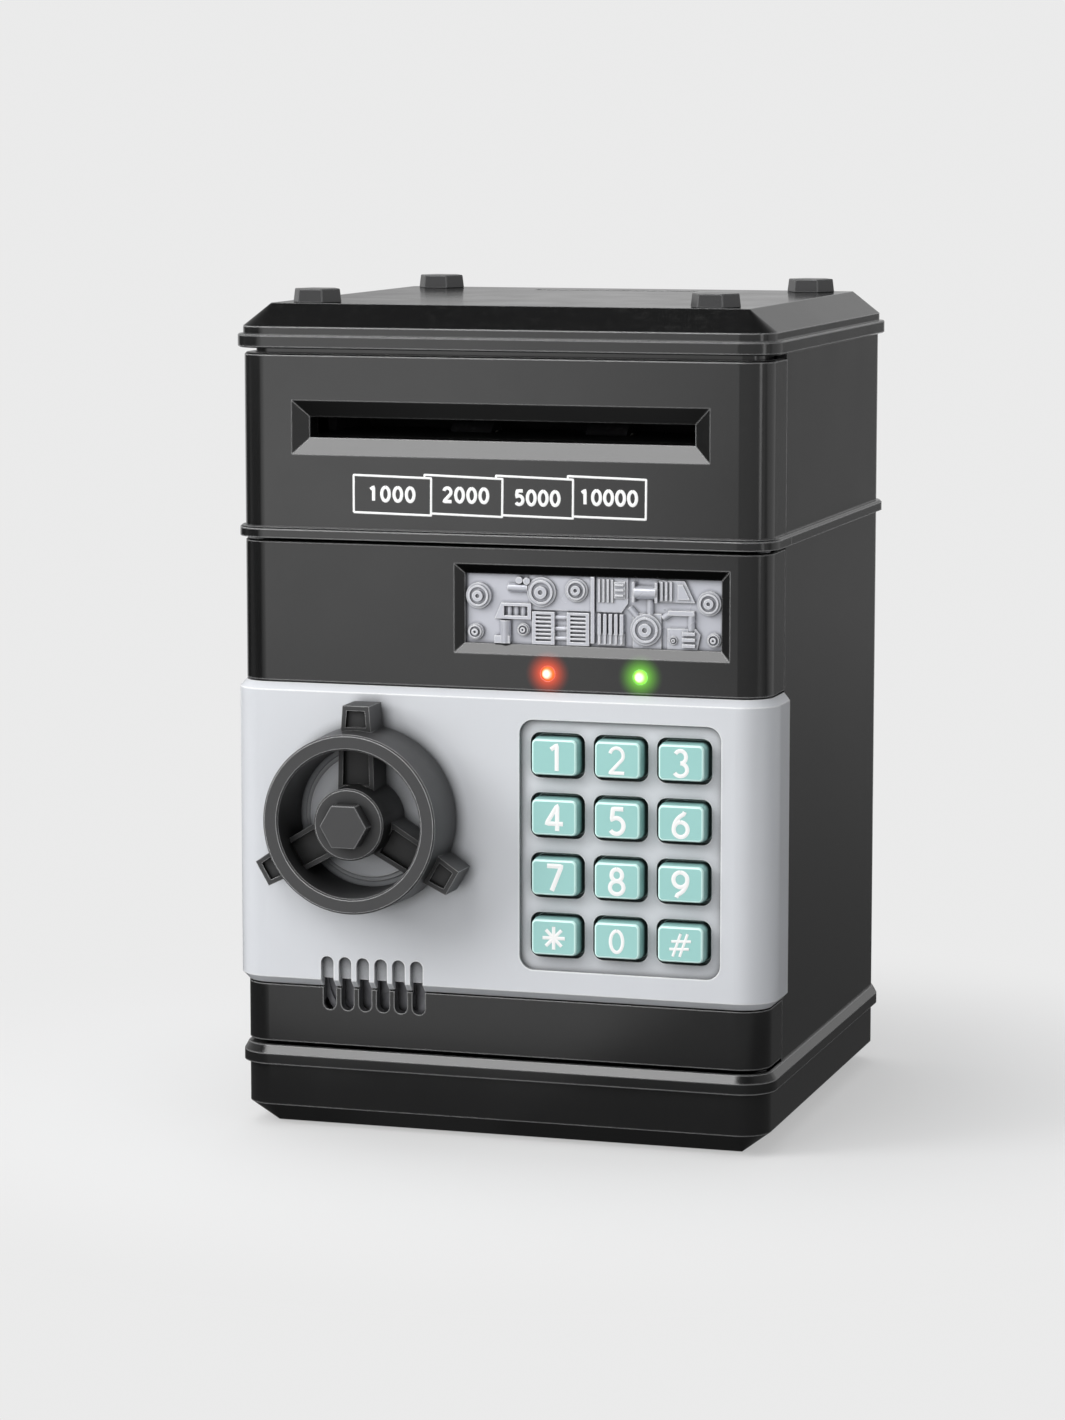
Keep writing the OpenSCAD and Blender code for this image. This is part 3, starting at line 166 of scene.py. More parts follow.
def dress(piece: Piece, material: Material) -> None:
    """Gives an object one material in all of its slots."""
    if not piece.data.materials:
        piece.data.materials.append(material)
    for index in range(len(piece.data.materials)):
        piece.data.materials[index] = material


def merged_copy(node: str, keep_shading: bool = False) -> Piece:
    """Copies a CAD node and merges its loose triangles.

    Args:
        node: the CAD node's name.
        keep_shading: whether the copy's corners keep the node's own normals.

    Returns:
        The copy, which rides on nothing yet.
    """
    pick(frame["nodes"][node])
    bpy.ops.object.duplicate()
    copy = bpy.context.object
    copy.parent = None
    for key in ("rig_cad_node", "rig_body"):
        if key in copy:
            del copy[key]
    normals = [corner.vector.copy() for corner in copy.data.corner_normals]
    bpy.ops.object.mode_set(mode="EDIT")
    bpy.ops.mesh.select_all(action="SELECT")
    bpy.ops.mesh.remove_doubles(threshold=CAD_MERGE)
    bpy.ops.object.mode_set(mode="OBJECT")
    if keep_shading:
        copy.data.normals_split_custom_set(normals)
    return copy


def stand_in(copy: Piece, node: str) -> None:
    """Lets a copy stand for its CAD node: hides the node and puts the copy on the node's body."""
    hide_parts(node)
    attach(copy, frame["nodes"][node]["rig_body"])


@dataclass
class RoundedMoulding:
    """A CAD moulding with its sharp edges rounded, as a merged copy that stands for the node.

    Attributes:
        node: the CAD node's name.
        radius: how far the rounding reaches from each edge.
        segments: faces across the rounding.
        sharp: edges that turn more than this many degrees are rounded.
        slim: how much narrower the copy is on each side, across and up.
    """

    node: str
    radius: float
    segments: int = 2
    sharp: float = 18.0
    slim: float = 0.0

    def build(self, material: Material, edge: Material) -> Piece:
        """Copies the node, merges and rounds it, and dresses it.

        Args:
            material: the finish of the faces.
            edge: the finish of the rounded edges, a lighter tone that paints a highlight on them.

        Returns:
            The new piece, riding on the node's body.
        """
        copy = merged_copy(self.node)
        bpy.ops.object.mode_set(mode="EDIT")
        bpy.ops.mesh.select_all(action="SELECT")
        bpy.ops.mesh.dissolve_limited(angle_limit=FLAT_ANGLE)
        bpy.ops.object.mode_set(mode="OBJECT")
        if self.slim:
            low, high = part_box(self.node)
            copy.scale = tuple(1.0 - 2 * self.slim / (high[i] - low[i]) if i != 1 else 1.0
                               for i in range(3))
            copy.location = tuple((low[i] + high[i]) / 2 * (1.0 - copy.scale[i]) for i in range(3))
        settle(copy, self.node + ".moulding")
        copy.data.materials.clear()
        for finish in (material, edge):
            copy.data.materials.append(finish)
        copy.data.polygons.foreach_set("material_index", [0] * len(copy.data.polygons))
        # The rounding's faces take the edge finish, which paints a highlight on them.
        apply_modifier(copy, "BEVEL", width=self.radius, segments=self.segments,
                       limit_method="ANGLE", material=1, angle_limit=math.radians(self.sharp),
                       use_clamp_overlap=True, harden_normals=False)
        pick(copy)
        bpy.ops.object.shade_smooth_by_angle(angle=SMOOTH_ANGLE)
        apply_modifier(copy, "WEIGHTED_NORMAL", mode="FACE_AREA", weight=FACE_WEIGHT,
                       keep_sharp=True)
        stand_in(copy, self.node)
        return copy


# Shader node helpers


@dataclass(frozen=True)
class Ramp:
    """A clamped change over a range, from the value before its start to the one past its end."""

    start: float
    end: float
    low: float = 0.0
    high: float = 1.0


@dataclass(frozen=True)
class Waves:
    """A noise pattern: waves per metre, octaves, and the share of each further octave."""

    scale: float | Socket = 1.0
    detail: float = 2.0
    roughness: float = 0.5


MID_NOISE = Ramp(0.3, 0.7)  # the part of a noise's range that counts
NEAREST_AHEAD = -0.05  # where along Y the slant to a place stops growing


class NodeSheet:
    """A node tree with short calls to add and feed nodes."""

    def __init__(self, tree: Tree) -> None:
        """Starts on an emptied tree."""
        self.tree = tree
        tree.nodes.clear()

    def add(self, kind: str, fed: Feed | None = None,
            **settings: float | str | bool | Tree) -> Node:
        """Adds a node.

        Args:
            kind: the node's type after ShaderNode, or a group node's full type.
            fed: what its inputs get, by their names or numbers.
            settings: the node's own settings by name.

        Returns:
            The new node.
        """
        node = self.tree.nodes.new(kind if kind.startswith("Node") else "ShaderNode" + kind)
        for key, value in settings.items():
            setattr(node, key, value)
        self.feed(node, fed or {})
        return node

    def feed(self, node: Node, fed: Feed) -> None:
        """Links each named input to a socket or sets it to a value."""
        for key, value in fed.items():
            socket = node.inputs[key]
            if isinstance(value, Socket):
                self.tree.links.new(value, socket)
            else:
                socket.default_value = (*value, 1.0) if socket.type == "RGBA" else value

    def place(self) -> Socket:
        """Gives the place on the object, in metres."""
        return self.add("TexCoord").outputs["Object"]

    def axes(self, vector: Socket) -> Outputs:
        """Splits a vector into X, Y and Z."""
        return self.add("SeparateXYZ", {0: vector}).outputs

    def noise(self, place: Socket, waves: Waves) -> Socket:
        """Gives a noise texture's value, around a half."""
        return self.add("TexNoise", {
            "Vector": place, "Scale": waves.scale, "Detail": waves.detail,
            "Roughness": waves.roughness}).outputs["Fac"]

    def ramp(self, value: Socket, ramp: Ramp, shape: str = "LINEAR") -> Socket:
        """Sends a value through a ramp of the given shape."""
        return self.add("MapRange", {
            "Value": value, "From Min": ramp.start, "From Max": ramp.end, "To Min": ramp.low,
            "To Max": ramp.high}, interpolation_type=shape).outputs["Result"]

    def math(self, operation: str, first: Socket | float, second: Socket | float = 0.0) -> Socket:
        """Gives the result of an operation on two values."""
        return self.add("Math", {0: first, 1: second}, operation=operation).outputs[0]

    def times(self, *factors: Socket | float) -> Socket:
        """Multiplies values."""
        return reduce(partial(self.math, "MULTIPLY"), factors)

    def brightest(self, *values: Socket) -> Socket:
        """Gives the largest of several values."""
        return reduce(partial(self.math, "MAXIMUM"), values)

    def zone(self, *parts: tuple[Socket, Ramp]) -> Socket:
        """Multiplies ramps, each over its own value."""
        return self.times(*(self.ramp(value, ramp) for value, ramp in parts))

    def leaning(self, across: Socket, along: Socket, lean: float) -> Socket:
        """Gives a place across that moves by the lean for each metre along."""
        return self.math("ADD", across, self.times(along, lean))

    def slant(self, axes: Outputs) -> Socket:
        """Gives how far to the left something lies for each metre that it lies ahead."""
        return self.math("DIVIDE", axes["X"], self.math("MINIMUM", axes["Y"], NEAREST_AHEAD))

    def vector(self, operation: str, first: Socket, second: Socket | Colour) -> Socket:
        """Gives the result of an operation on two vectors."""
        return self.add("VectorMath", {0: first, 1: second}, operation=operation).outputs[0]

    def length(self, vector: Socket) -> Socket:
        """Gives a vector's length."""
        return self.add("VectorMath", {0: vector}, operation="LENGTH").outputs["Value"]

    def off_axis(self, node: str) -> Socket:
        """Gives the distance from the axis that runs along Y through a CAD node's middle."""
        low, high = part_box(node)
        offset = self.vector("SUBTRACT", self.place(), (low + high) / 2)
        return self.length(self.vector("MULTIPLY", offset, (1.0, 0.0, 1.0)))

    def mix(self, factor: Socket, first: Socket | Colour, second: Socket | Colour) -> Socket:
        """Mixes two colours."""
        return self.add("Mix", {0: factor, 6: first, 7: second}, data_type="RGBA").outputs[2]

    def rounded(self, radius: Socket | float) -> Socket:
        """Gives the normal of edges that look rounded."""
        return self.add("Bevel", {"Radius": radius}, samples=4).outputs[0]

    def bump(self, height: Socket, strength: float, distance: float, edge: float = 0.0) -> Socket:
        """Gives the normal of a bump, over rounded edges where they have a radius."""
        fed: Feed = {"Normal": self.rounded(edge)} if edge else {}
        return self.add("Bump", fed | {
            "Strength": strength, "Distance": distance, "Height": height}).outputs[0]

    def effect(self, group: Tree, **fed: float) -> Outputs:
        """Places a shared effect with its own values."""
        return self.add("Group", fed, node_tree=group).outputs

    def blend(self, factor: Socket, first: Node, second: Node) -> Node:
        """Mixes two shaders."""
        return self.add("MixShader", {0: factor, 1: first.outputs[0], 2: second.outputs[0]})

    def seen_in_gloss(self, path: Node, plain: Node, mirrored: Node) -> Node:
        """Shows one shader in gloss and glass, and another elsewhere."""
        rays = (path.outputs[f"Is {kind} Ray"] for kind in ("Glossy", "Transmission"))
        return self.blend(self.brightest(*rays), plain, mirrored)


class SharedEffects:
    """Shader node groups that several finishes use, each built once."""

    def __init__(self) -> None:
        """Builds the groups."""
        self.grain = self._grain_and_underside_mask()
        self.dust = self._settled_dust()
        self.painted_light = self._painted_light_masks()

    @staticmethod
    def _group(name: str, inputs: dict[str, float],
               outputs: tuple[str, ...]) -> tuple[NodeSheet, Outputs, Node]:
        """Starts a node group with float sockets.

        Args:
            name: the group's name.
            inputs: input names with their defaults.
            outputs: output names.

        Returns:
            The sheet, what the group is given and its output node.
        """
        tree = bpy.data.node_groups.new(name, "ShaderNodeTree")
        for key in (*inputs, *outputs):
            socket = tree.interface.new_socket(key, in_out="INPUT" if key in inputs else "OUTPUT",
                                               socket_type="NodeSocketFloat")
            socket.default_value = inputs.get(key, 0.0)
        sheet = NodeSheet(tree)
        return sheet, sheet.add("NodeGroupInput").outputs, sheet.add("NodeGroupOutput")

    def _grain_and_underside_mask(self) -> Tree:
        """Builds the fine unevenness of a moulded or lacquered surface, and a mask of faces that
        look down, for painted shade on undersides.

        Returns:
            A group from Scale to Tone, Gloss, Height and Underside, each from 0 to 1.
        """
        sheet, given, out = self._group("moulding grain and underside mask", {"Scale": 900.0},
                                        ("Tone", "Gloss", "Height", "Underside"))
        place = sheet.place()
        facing = sheet.axes(sheet.add("NewGeometry").outputs["True Normal"])["Z"]
        drift, patches, fine = Waves(14.0, 3.0), Waves(55.0, 4.0, 0.6), Waves(given["Scale"])
        # Mask of faces that look down, used for painted shade on undersides.
        looks_down = Ramp(-0.15, -0.35)
        sheet.feed(out, {
            "Tone": sheet.noise(place, drift),
            "Gloss": sheet.ramp(sheet.noise(place, patches), MID_NOISE),
            "Height": sheet.noise(place, fine),
            "Underside": sheet.ramp(facing, looks_down)})
        return sheet.tree

    def _settled_dust(self) -> Tree:
        """Builds the faint dust that lies on upward faces.

        Returns:
            A group from Amount to Mask, from 0 to 1.
        """
        sheet, given, out = self._group("settled dust", {"Amount": 0.2}, ("Mask",))
        place = sheet.place()
        facing = sheet.axes(sheet.add("NewGeometry").outputs["Normal"])["Z"]
        specks, speckled = Waves(420.0, 6.0, 0.75), Ramp(0.52, 0.72)
        clouds, clouded = Waves(22.0, 3.0), Ramp(0.35, 0.75, 0.2)
        looks_up = Ramp(0.2, 1.0, 0.12)
        dust = sheet.zone((sheet.noise(place, specks), speckled),
                          (sheet.noise(place, clouds), clouded), (facing, looks_up))
        sheet.feed(out, {"Mask": sheet.times(dust, given["Amount"])})
        return sheet.tree

    def _painted_light_masks(self) -> Tree:
        """Builds the masks of a painted highlight on outer edges and of painted shade in tight
        recesses.

        Returns:
            A group from Radius and Reach to two masks, each from 0 to 1: the painted highlight on
            outer edges and the painted shade in recesses.
        """
        sheet, given, out = self._group("painted edge light and recess shade masks", {"Radius": 0.3 * MM, "Reach": 2.0 * MM},
                                        ("Edge", "Crevice"))
        # Painted highlight: where the rounded shading normal turns away from the face, on open
        # outer edges.
        turn = sheet.add("VectorMath", {
            0: sheet.rounded(given["Radius"]), 1: sheet.add("NewGeometry").outputs["True Normal"],
        }, operation="DOT_PRODUCT").outputs["Value"]
        # Painted shade: darker where ambient occlusion finds the place closed in.
        sky = sheet.add("AmbientOcclusion", {"Distance": given["Reach"]}, samples=6).outputs["AO"]
        turned, outer, tight = Ramp(0.995, 0.93), Ramp(0.50, 0.75), Ramp(0.35, 0.96, 1.0, 0.0)
        sheet.feed(out, {"Edge": sheet.zone((turn, turned), (sky, outer)),
                         "Crevice": sheet.ramp(sky, tight)})
        return sheet.tree


# Finishes


@dataclass(frozen=True)
class Finish:
    """A material with one Principled shader, which each kind of finish fills in.

    Attributes:
        name: the material's name.
    """

    name: str

    def build(self, effects: SharedEffects) -> Material:
        """Builds the material.

        Args:
            effects: the shared node groups.

        Returns:
            The material.
        """
        material = bpy.data.materials.new(self.name)
        material.use_nodes = True
        sheet = NodeSheet(material.node_tree)
        shader = sheet.add("BsdfPrincipled")
        sheet.add("OutputMaterial", {"Surface": shader.outputs[0]})
        sheet.feed(shader, self.fill(sheet, effects))
        return material

    def fill(self, sheet: NodeSheet, effects: SharedEffects) -> Feed:
        """Gives what the shader's inputs get."""
        raise NotImplementedError

    def dusty(self, sheet: NodeSheet, effects: SharedEffects, body: Socket, amount: float,
              colour: Colour) -> Socket:
        """Lays the shared dust over a colour."""
        return sheet.mix(sheet.effect(effects.dust, Amount=amount)["Mask"], body, colour)


@dataclass(frozen=True)
class MouldedPlastic(Finish):
    """Moulded or lacquered plastic.

    Attributes:
        colour: the lighter tone.
        shade: the darker tone that the colour drifts to.
        gloss: lowest and highest roughness.
        metallic: share of metal flake in a lacquer.
        clear: weight of the clear coat.
        lustre: strength of the gloss, where 0.5 is plain plastic.
        grain: grain waves per metre.
        depth: grain depth as a bump strength.
        edge: radius of the rounded edge that the shading shows, or 0.
        rim: painted highlight on the outer edges, how much lighter they are, from 0 to 1.
        hollow: painted shade in the recesses, how much darker they are, from 0 to 1.
        reach: how wide a recess may be to count, or 0 for none.
        underside: painted shade on faces that look down, as the share of the plastic's gloss that
            they lose, from 0 to 1.
        wear: how much dust and handling shows.
    """

    colour: Colour
    shade: Colour
    gloss: Point2 = (0.25, 0.35)
    metallic: float = 0.0
    clear: float = 0.0
    lustre: float = 0.5
    grain: float = 900.0
    depth: float = 0.02
    edge: float = 0.0
    rim: float = 0.0
    hollow: float = 0.0
    reach: float = 0.0
    underside: float = 0.0
    wear: Wear = Wear.NEW

    def fill(self, sheet: NodeSheet, effects: SharedEffects) -> Feed:
        """Gives colour, gloss and grain, with the dust, a painted highlight on outer edges, painted
        shade in recesses and painted shade on faces that look down.
        """
        grain = sheet.effect(effects.grain, Scale=self.grain)
        body = sheet.mix(sheet.ramp(grain["Tone"], MID_NOISE), self.shade, self.colour)
        # Painted highlight on the outer edges, then painted shade in the recesses, over the body
        # colour.
        if self.reach:
            light = tuple(value + (1.0 - value) * self.rim for value in self.colour)
            dark = tuple(value * (1.0 - self.hollow) for value in self.shade)
            radius = max(RIM_WIDTH * self.edge, LEAST_RIM)
            painted_light = sheet.effect(effects.painted_light, Radius=radius, Reach=self.reach)
            body = sheet.mix(painted_light["Crevice"], sheet.mix(painted_light["Edge"], body, light), dark)
        # On faces that look down, metal of the dark base colour takes the gloss away: painted shade
        # on undersides.
        flake_or_underside_shade = sheet.times(grain["Underside"], self.underside) if self.underside else self.metallic
        return {
            "Base Color": self.dusty(sheet, effects, body, FULL_DUST * self.wear.value, PALE_DUST),
            "Roughness": sheet.ramp(grain["Gloss"], Ramp(0.0, 1.0, *self.gloss)),
            "Metallic": flake_or_underside_shade,
            "Specular IOR Level": self.lustre,
            "Coat Weight": self.clear,
            "Coat Roughness": COAT_ROUGHNESS,
            "Normal": sheet.bump(grain["Height"], self.depth, GRAIN_HEIGHT, self.edge)}


@dataclass(frozen=True)
class LensGlowPaintedPlastic(MouldedPlastic):
    """Black plastic with a painted glow round the lamps' lenses, emitted by the plastic itself.

    Attributes:
        halo: how far the painted glow reaches from a lens's axis.
        fall: power with which it falls off.
        lamps: each lens's CAD node with the colour of the painted glow round it.
    """

    halo: float = 5.4 * MM
    fall: float = 2.0
    lamps: tuple[tuple[str, Colour], ...] = (("lamp_red", (1.60, 0.13, 0.015)),
                                             ("lamp_green", (0.30, 1.10, 0.05)))

    def fill(self, sheet: NodeSheet, effects: SharedEffects) -> Feed:
        """Adds the painted glow round each lens to the plain plastic."""
        light: Colour | Socket = (0.0, 0.0, 0.0)
        for node, colour in self.lamps:
            near = sheet.ramp(sheet.off_axis(node), Ramp(self.halo, 0.0))
            light = sheet.mix(sheet.math("POWER", near, self.fall), light, colour)
        return super().fill(sheet, effects) | {"Emission Color": light, "Emission Strength": 1.0}


@dataclass(frozen=True)
class DrawnMetal(Finish):
    """Metal with fine drawing or turning lines along one direction.

    Attributes:
        colour: the clean metal.
        shade: the duller metal between the lines.
        stretch: how the line pattern is stretched along X, Y and Z.
        gloss: lowest and highest roughness.
        contrast: part of the pattern's range that shows.
    """

    colour: Colour
    shade: Colour
    stretch: Colour = (60.0, 900.0, 900.0)
    gloss: Point2 = (0.25, 0.45)
    contrast: Point2 = (0.35, 0.65)

    def fill(self, sheet: NodeSheet, effects: SharedEffects) -> Feed:
        """Gives the drawn metal, with the shared dust on it."""
        place = sheet.add("Mapping", {"Vector": sheet.place(), "Scale": self.stretch})
        lines = sheet.noise(place.outputs[0], Waves(1.0, 4.0, 0.6))
        body = sheet.mix(sheet.ramp(lines, Ramp(*self.contrast)), self.shade, self.colour)
        return {
            "Base Color": self.dusty(sheet, effects, body, amount=0.25, colour=(0.4, 0.38, 0.35)),
            "Roughness": sheet.ramp(lines, Ramp(*self.contrast, *self.gloss)),
            "Metallic": 1.0,
            "Normal": sheet.bump(lines, strength=0.05, distance=0.3 * MM, edge=0.15 * MM)}


@dataclass(frozen=True)
class LitLens(Finish):
    """A small coloured lens with a lamp behind its middle.

    Attributes:
        node: the lens's CAD node.
        core: colour at the middle.
        rim: colour toward the edge.
        spread: where the core's colour starts and ends its change, as shares of the radius.
    """

    node: str
    core: Colour
    rim: Colour
    spread: Point2 = (0.15, 0.62)

    def fill(self, sheet: NodeSheet, effects: SharedEffects) -> Feed:
        """Lets the glow fall off from the lens's axis, mottled by the shared grain."""
        low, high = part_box(self.node)
        fade = Ramp(*(share * (high.x - low.x) / 2 for share in self.spread))
        glow = sheet.mix(sheet.ramp(sheet.off_axis(self.node), fade), self.core, self.rim)
        return {
            "Base Color": sheet.mix(sheet.effect(effects.grain)["Tone"], glow, self.rim),
            "Emission Color": glow,
            "Emission Strength": 1.3,
            "Roughness": 0.12,
            "Coat Weight": 0.6}


@dataclass(frozen=True)
class CircuitLaminate(Finish):
    """Lacquered board with faint copper tracks under the lacquer.

    Attributes:
        lacquer: the board's colour.
        track: the colour over a track.
    """

    lacquer: Colour
    track: Colour

    def fill(self, sheet: NodeSheet, effects: SharedEffects) -> Feed:
        """Lays the tracks as a brick pattern on the board's upright face."""
        upright = sheet.add("Mapping", {
            "Vector": sheet.place(), "Rotation": (math.radians(90), 0.0, 0.0)}).outputs[0]
        tracks = sheet.add("TexBrick", {
            "Vector": upright, "Scale": 160.0, "Mortar Size": 0.06, "Mortar Smooth": 0.3,
            "Brick Width": 0.9, "Row Height": 0.3}, offset=0.5).outputs["Fac"]
        body = sheet.mix(tracks, self.lacquer, self.track)
        return {
            "Base Color": self.dusty(sheet, effects, body, amount=0.3, colour=(0.4, 0.4, 0.36)),
            "Roughness": 0.35,
            "Normal": sheet.bump(tracks, strength=0.2, distance=0.1 * MM)}


BLACK: Colour = (0.0085, 0.0086, 0.0086)
DEEP_BLACK: Colour = (0.0068, 0.0068, 0.0069)
# The shell paints a highlight on its outer edges, paints shade in its recesses and paints shade on
# faces that look down.
SHELL = {"gloss": (0.13, 0.18), "depth": 0.008, "edge": 0.3 * MM, "rim": 0.36, "hollow": 0.8,
         "reach": 1.2 * MM, "underside": 0.85}

# Where a finish sets rim, hollow and reach, it paints a highlight on outer edges and paints shade
# in recesses.
FINISHES: dict[str, Finish] = {
    "housing_black": MouldedPlastic("gloss black housing", BLACK, DEEP_BLACK, lustre=0.95, **SHELL),
    # The door paints a glow round the lamps' lenses.
    "door_black": LensGlowPaintedPlastic(
        "gloss black door", (0.0075, 0.0076, 0.0076), (0.006, 0.006, 0.0062), lustre=0.85, **SHELL),
    "bolt_black": MouldedPlastic(
        "black bolt heads", (0.030, 0.030, 0.031), (0.024, 0.024, 0.025), (0.16, 0.22),
        lustre=1.0, edge=0.2 * MM, rim=0.5, hollow=0.6, reach=2.0 * MM),
    "panel_silver": MouldedPlastic(
        "silver lacquer", (0.66, 0.675, 0.705), (0.63, 0.645, 0.67), (0.3, 0.4), metallic=0.12,
        clear=0.4, grain=2600.0, edge=0.35 * MM, rim=1.0, hollow=0.9, reach=3.0 * MM),
    "relief_silver": MouldedPlastic(
        "silver relief", (0.60, 0.61, 0.66), (0.54, 0.55, 0.60), (0.22, 0.3), metallic=0.35,
        grain=2600.0, depth=0.03, edge=0.26 * MM, rim=1.0, hollow=0.6, reach=0.8 * MM),
    "wheel_black": MouldedPlastic(
        "black handwheel", (0.056, 0.056, 0.057), (0.049, 0.049, 0.050), (0.38, 0.46),
        depth=0.03, edge=0.16 * MM, rim=0.6, hollow=0.97, reach=11.0 * MM),
    "key_mint": MouldedPlastic(
        "mint keys", (0.345, 0.62, 0.59), (0.30, 0.57, 0.535), (0.28, 0.38), clear=0.3,
        hollow=0.9, reach=1.8 * MM),
    # The edge finishes are lighter tones of their plastics, laid on rounded edges as a painted
    # highlight.
    "black_edge": MouldedPlastic(
        "black edge, painted highlight", (0.085, 0.085, 0.086), (0.06, 0.06, 0.061), (0.16, 0.22),
        depth=0.008, lustre=1.0),
    "wheel_edge": MouldedPlastic(
        "handwheel edge, painted highlight", (0.17, 0.17, 0.172), (0.12, 0.12, 0.122), (0.2, 0.28), lustre=1.0),
    "key_edge": MouldedPlastic(
        "mint key edge", (0.72, 0.97, 0.92), (0.64, 0.93, 0.87), (0.2, 0.28), clear=0.4,
        hollow=0.6, reach=0.9 * MM),
    "print": MouldedPlastic("white print", (0.90, 0.90, 0.89), (0.86, 0.86, 0.85), (0.4, 0.5)),
    "white_plastic": MouldedPlastic(
        "natural white plastic", (0.78, 0.78, 0.74), (0.70, 0.70, 0.66), (0.4, 0.55),
        depth=0.04, edge=0.1 * MM, wear=Wear.HANDLED),
    "roller_plastic": MouldedPlastic(
        "roller plastic", (0.72, 0.72, 0.68), (0.62, 0.62, 0.58), (0.35, 0.5), depth=0.04,
        edge=0.1 * MM, wear=Wear.HANDLED),
    "inner_black": MouldedPlastic(
        "matt black inner moulding", (0.028, 0.028, 0.029), (0.020, 0.020, 0.021), (0.5, 0.65),
        grain=1800.0, depth=0.15, edge=0.2 * MM, wear=Wear.HIDDEN),
    "cover_black": MouldedPlastic(
        "battery cover", BLACK, DEEP_BLACK, (0.35, 0.45), grain=1500.0, depth=0.06,
        edge=0.3 * MM, wear=Wear.HANDLED),
    "dome_rubber": MouldedPlastic(
        "grey dome rubber", (0.13, 0.13, 0.14), (0.10, 0.10, 0.11), (0.6, 0.8), grain=1400.0,
        depth=0.1, wear=Wear.HANDLED),
    "roller_rubber": MouldedPlastic(
        "roller rubber", (0.030, 0.030, 0.032), (0.022, 0.022, 0.024), (0.65, 0.85),
        grain=1600.0, depth=0.25, wear=Wear.HIDDEN),
    "cell_jacket": MouldedPlastic(
        "lacquered cell jacket", (0.50, 0.42, 0.12), (0.42, 0.35, 0.10), (0.25, 0.35),
        metallic=0.5, clear=0.3, wear=Wear.HANDLED),
    "circuit_board": CircuitLaminate("green board", (0.03, 0.16, 0.07), (0.06, 0.27, 0.12)),
    "brass_part": DrawnMetal(
        "turned brass", (0.80, 0.62, 0.30), (0.66, 0.48, 0.20), (900.0, 60.0, 900.0)),
    "steel_part": DrawnMetal("bright steel", (0.62, 0.62, 0.64), (0.50, 0.50, 0.52)),
    "motor_can": DrawnMetal("plated motor can", (0.66, 0.66, 0.68), (0.56, 0.56, 0.58)),
    "speaker_metal": DrawnMetal(
        "plated speaker basket", (0.34, 0.34, 0.36), (0.24, 0.24, 0.26), (500.0, 500.0, 500.0),
        (0.35, 0.5)),
    "contact_metal": DrawnMetal("plated contact strip", (0.78, 0.74, 0.60), (0.66, 0.60, 0.46)),
    "screw_steel": DrawnMetal(
        "zinc-plated screws", (0.56, 0.56, 0.58), (0.44, 0.44, 0.47), (400.0, 400.0, 400.0)),
    "lamp_red": LitLens("lit red lens", "lamp_red", (1.0, 0.88, 0.72), (1.0, 0.13, 0.03)),
    "lamp_green": LitLens("lit green lens", "lamp_green", (0.94, 1.0, 0.84), (0.26, 0.95, 0.08)),
}


@dataclass
class FinishShelf:
    """All finishes of the bank, built once and handed out by the record's slot names."""

    effects: SharedEffects
    built: dict[str, Material] = field(default_factory=dict)

    def stock(self) -> None:
        """Builds every finish."""
        for slot, finish in FINISHES.items():
            self.built[slot] = finish.build(self.effects)

    def __getitem__(self, slot: str) -> Material:
        """Returns a slot's material."""
        return self.built[slot]

    def dress_nodes(self) -> None:
        """Gives every CAD node the finish of its slot in the record."""
        for node, slot in SLOTS.items():
            dress(frame["nodes"][node], self[slot])


# Numbers on the housing and signs on the keys


def arc(centre: Point2, radius: Point2, start: float, end: float, steps: int = 14) -> Stroke:
    """Gives points along an elliptical arc, from one angle in degrees to another, ends included."""
    angles = [math.radians(start + (end - start) * step / steps) for step in range(steps + 1)]
    return [(centre[0] + radius[0] * math.cos(a), centre[1] + radius[1] * math.sin(a))
            for a in angles]


def spoke(angle: float, reach: float = 0.46) -> Stroke:
    """Gives a stroke through the middle of a square cell, at an angle in degrees."""
    across, up = (reach * turn(math.radians(angle)) for turn in (math.cos, math.sin))
    return [(0.5 + across, 0.5 + up), (0.5 - across, 0.5 - up)]


def numeral_strokes(sign: str) -> list[Stroke]:
    """Gives a sign's pen strokes, in a cell one unit high that starts at the origin.

    Args:
        sign: a digit, star or hash sign.

    Returns:
        One list of points for each stroke.
    """
    shapes: dict[str, list[Stroke]] = {
        "0": [arc((0.31, 0.5), (0.27, 0.46), 90, 450, 28)],
        "1": [[(0.12, 0.80), (0.34, 0.96), (0.34, 0.04)]],
        "2": [arc((0.31, 0.69), (0.25, 0.27), 165, -32, 16) + [(0.06, 0.05), (0.60, 0.05)]],
        "3": [arc((0.29, 0.735), (0.21, 0.225), 150, -90, 16),
              arc((0.29, 0.275), (0.25, 0.235), 90, -150, 18)],
        "4": [[(0.44, 0.04), (0.44, 0.96), (0.04, 0.30), (0.66, 0.30)]],
        "5": [[(0.55, 0.95), (0.16, 0.95), (0.12, 0.54)]
              + arc((0.29, 0.33), (0.27, 0.29), 118, -145, 18)],
        "6": [arc((0.31, 0.31), (0.26, 0.27), 90, 450, 26),
              [(0.46, 0.96)] + arc((0.63, 0.30), (0.58, 0.60), 112, 178, 8)],
        "7": [[(0.06, 0.95), (0.60, 0.95), (0.24, 0.04)]],
        "8": [arc((0.31, 0.735), (0.20, 0.215), 90, 450, 24),
              arc((0.31, 0.28), (0.255, 0.24), 90, 450, 26)],
        "9": [arc((0.31, 0.69), (0.26, 0.27), 90, 450, 26),
              [(0.16, 0.04)] + arc((-0.01, 0.70), (0.58, 0.60), -68, -2, 8)],
        "*": [spoke(angle) for angle in (0, 45, 90, 135)],
        "#": [[(0.20, 0.04), (0.52, 0.96)], [(0.48, 0.04), (0.80, 0.96)],
              [(0.06, 0.33), (0.86, 0.36)], [(0.14, 0.64), (0.94, 0.67)]],
    }
    return shapes[sign]


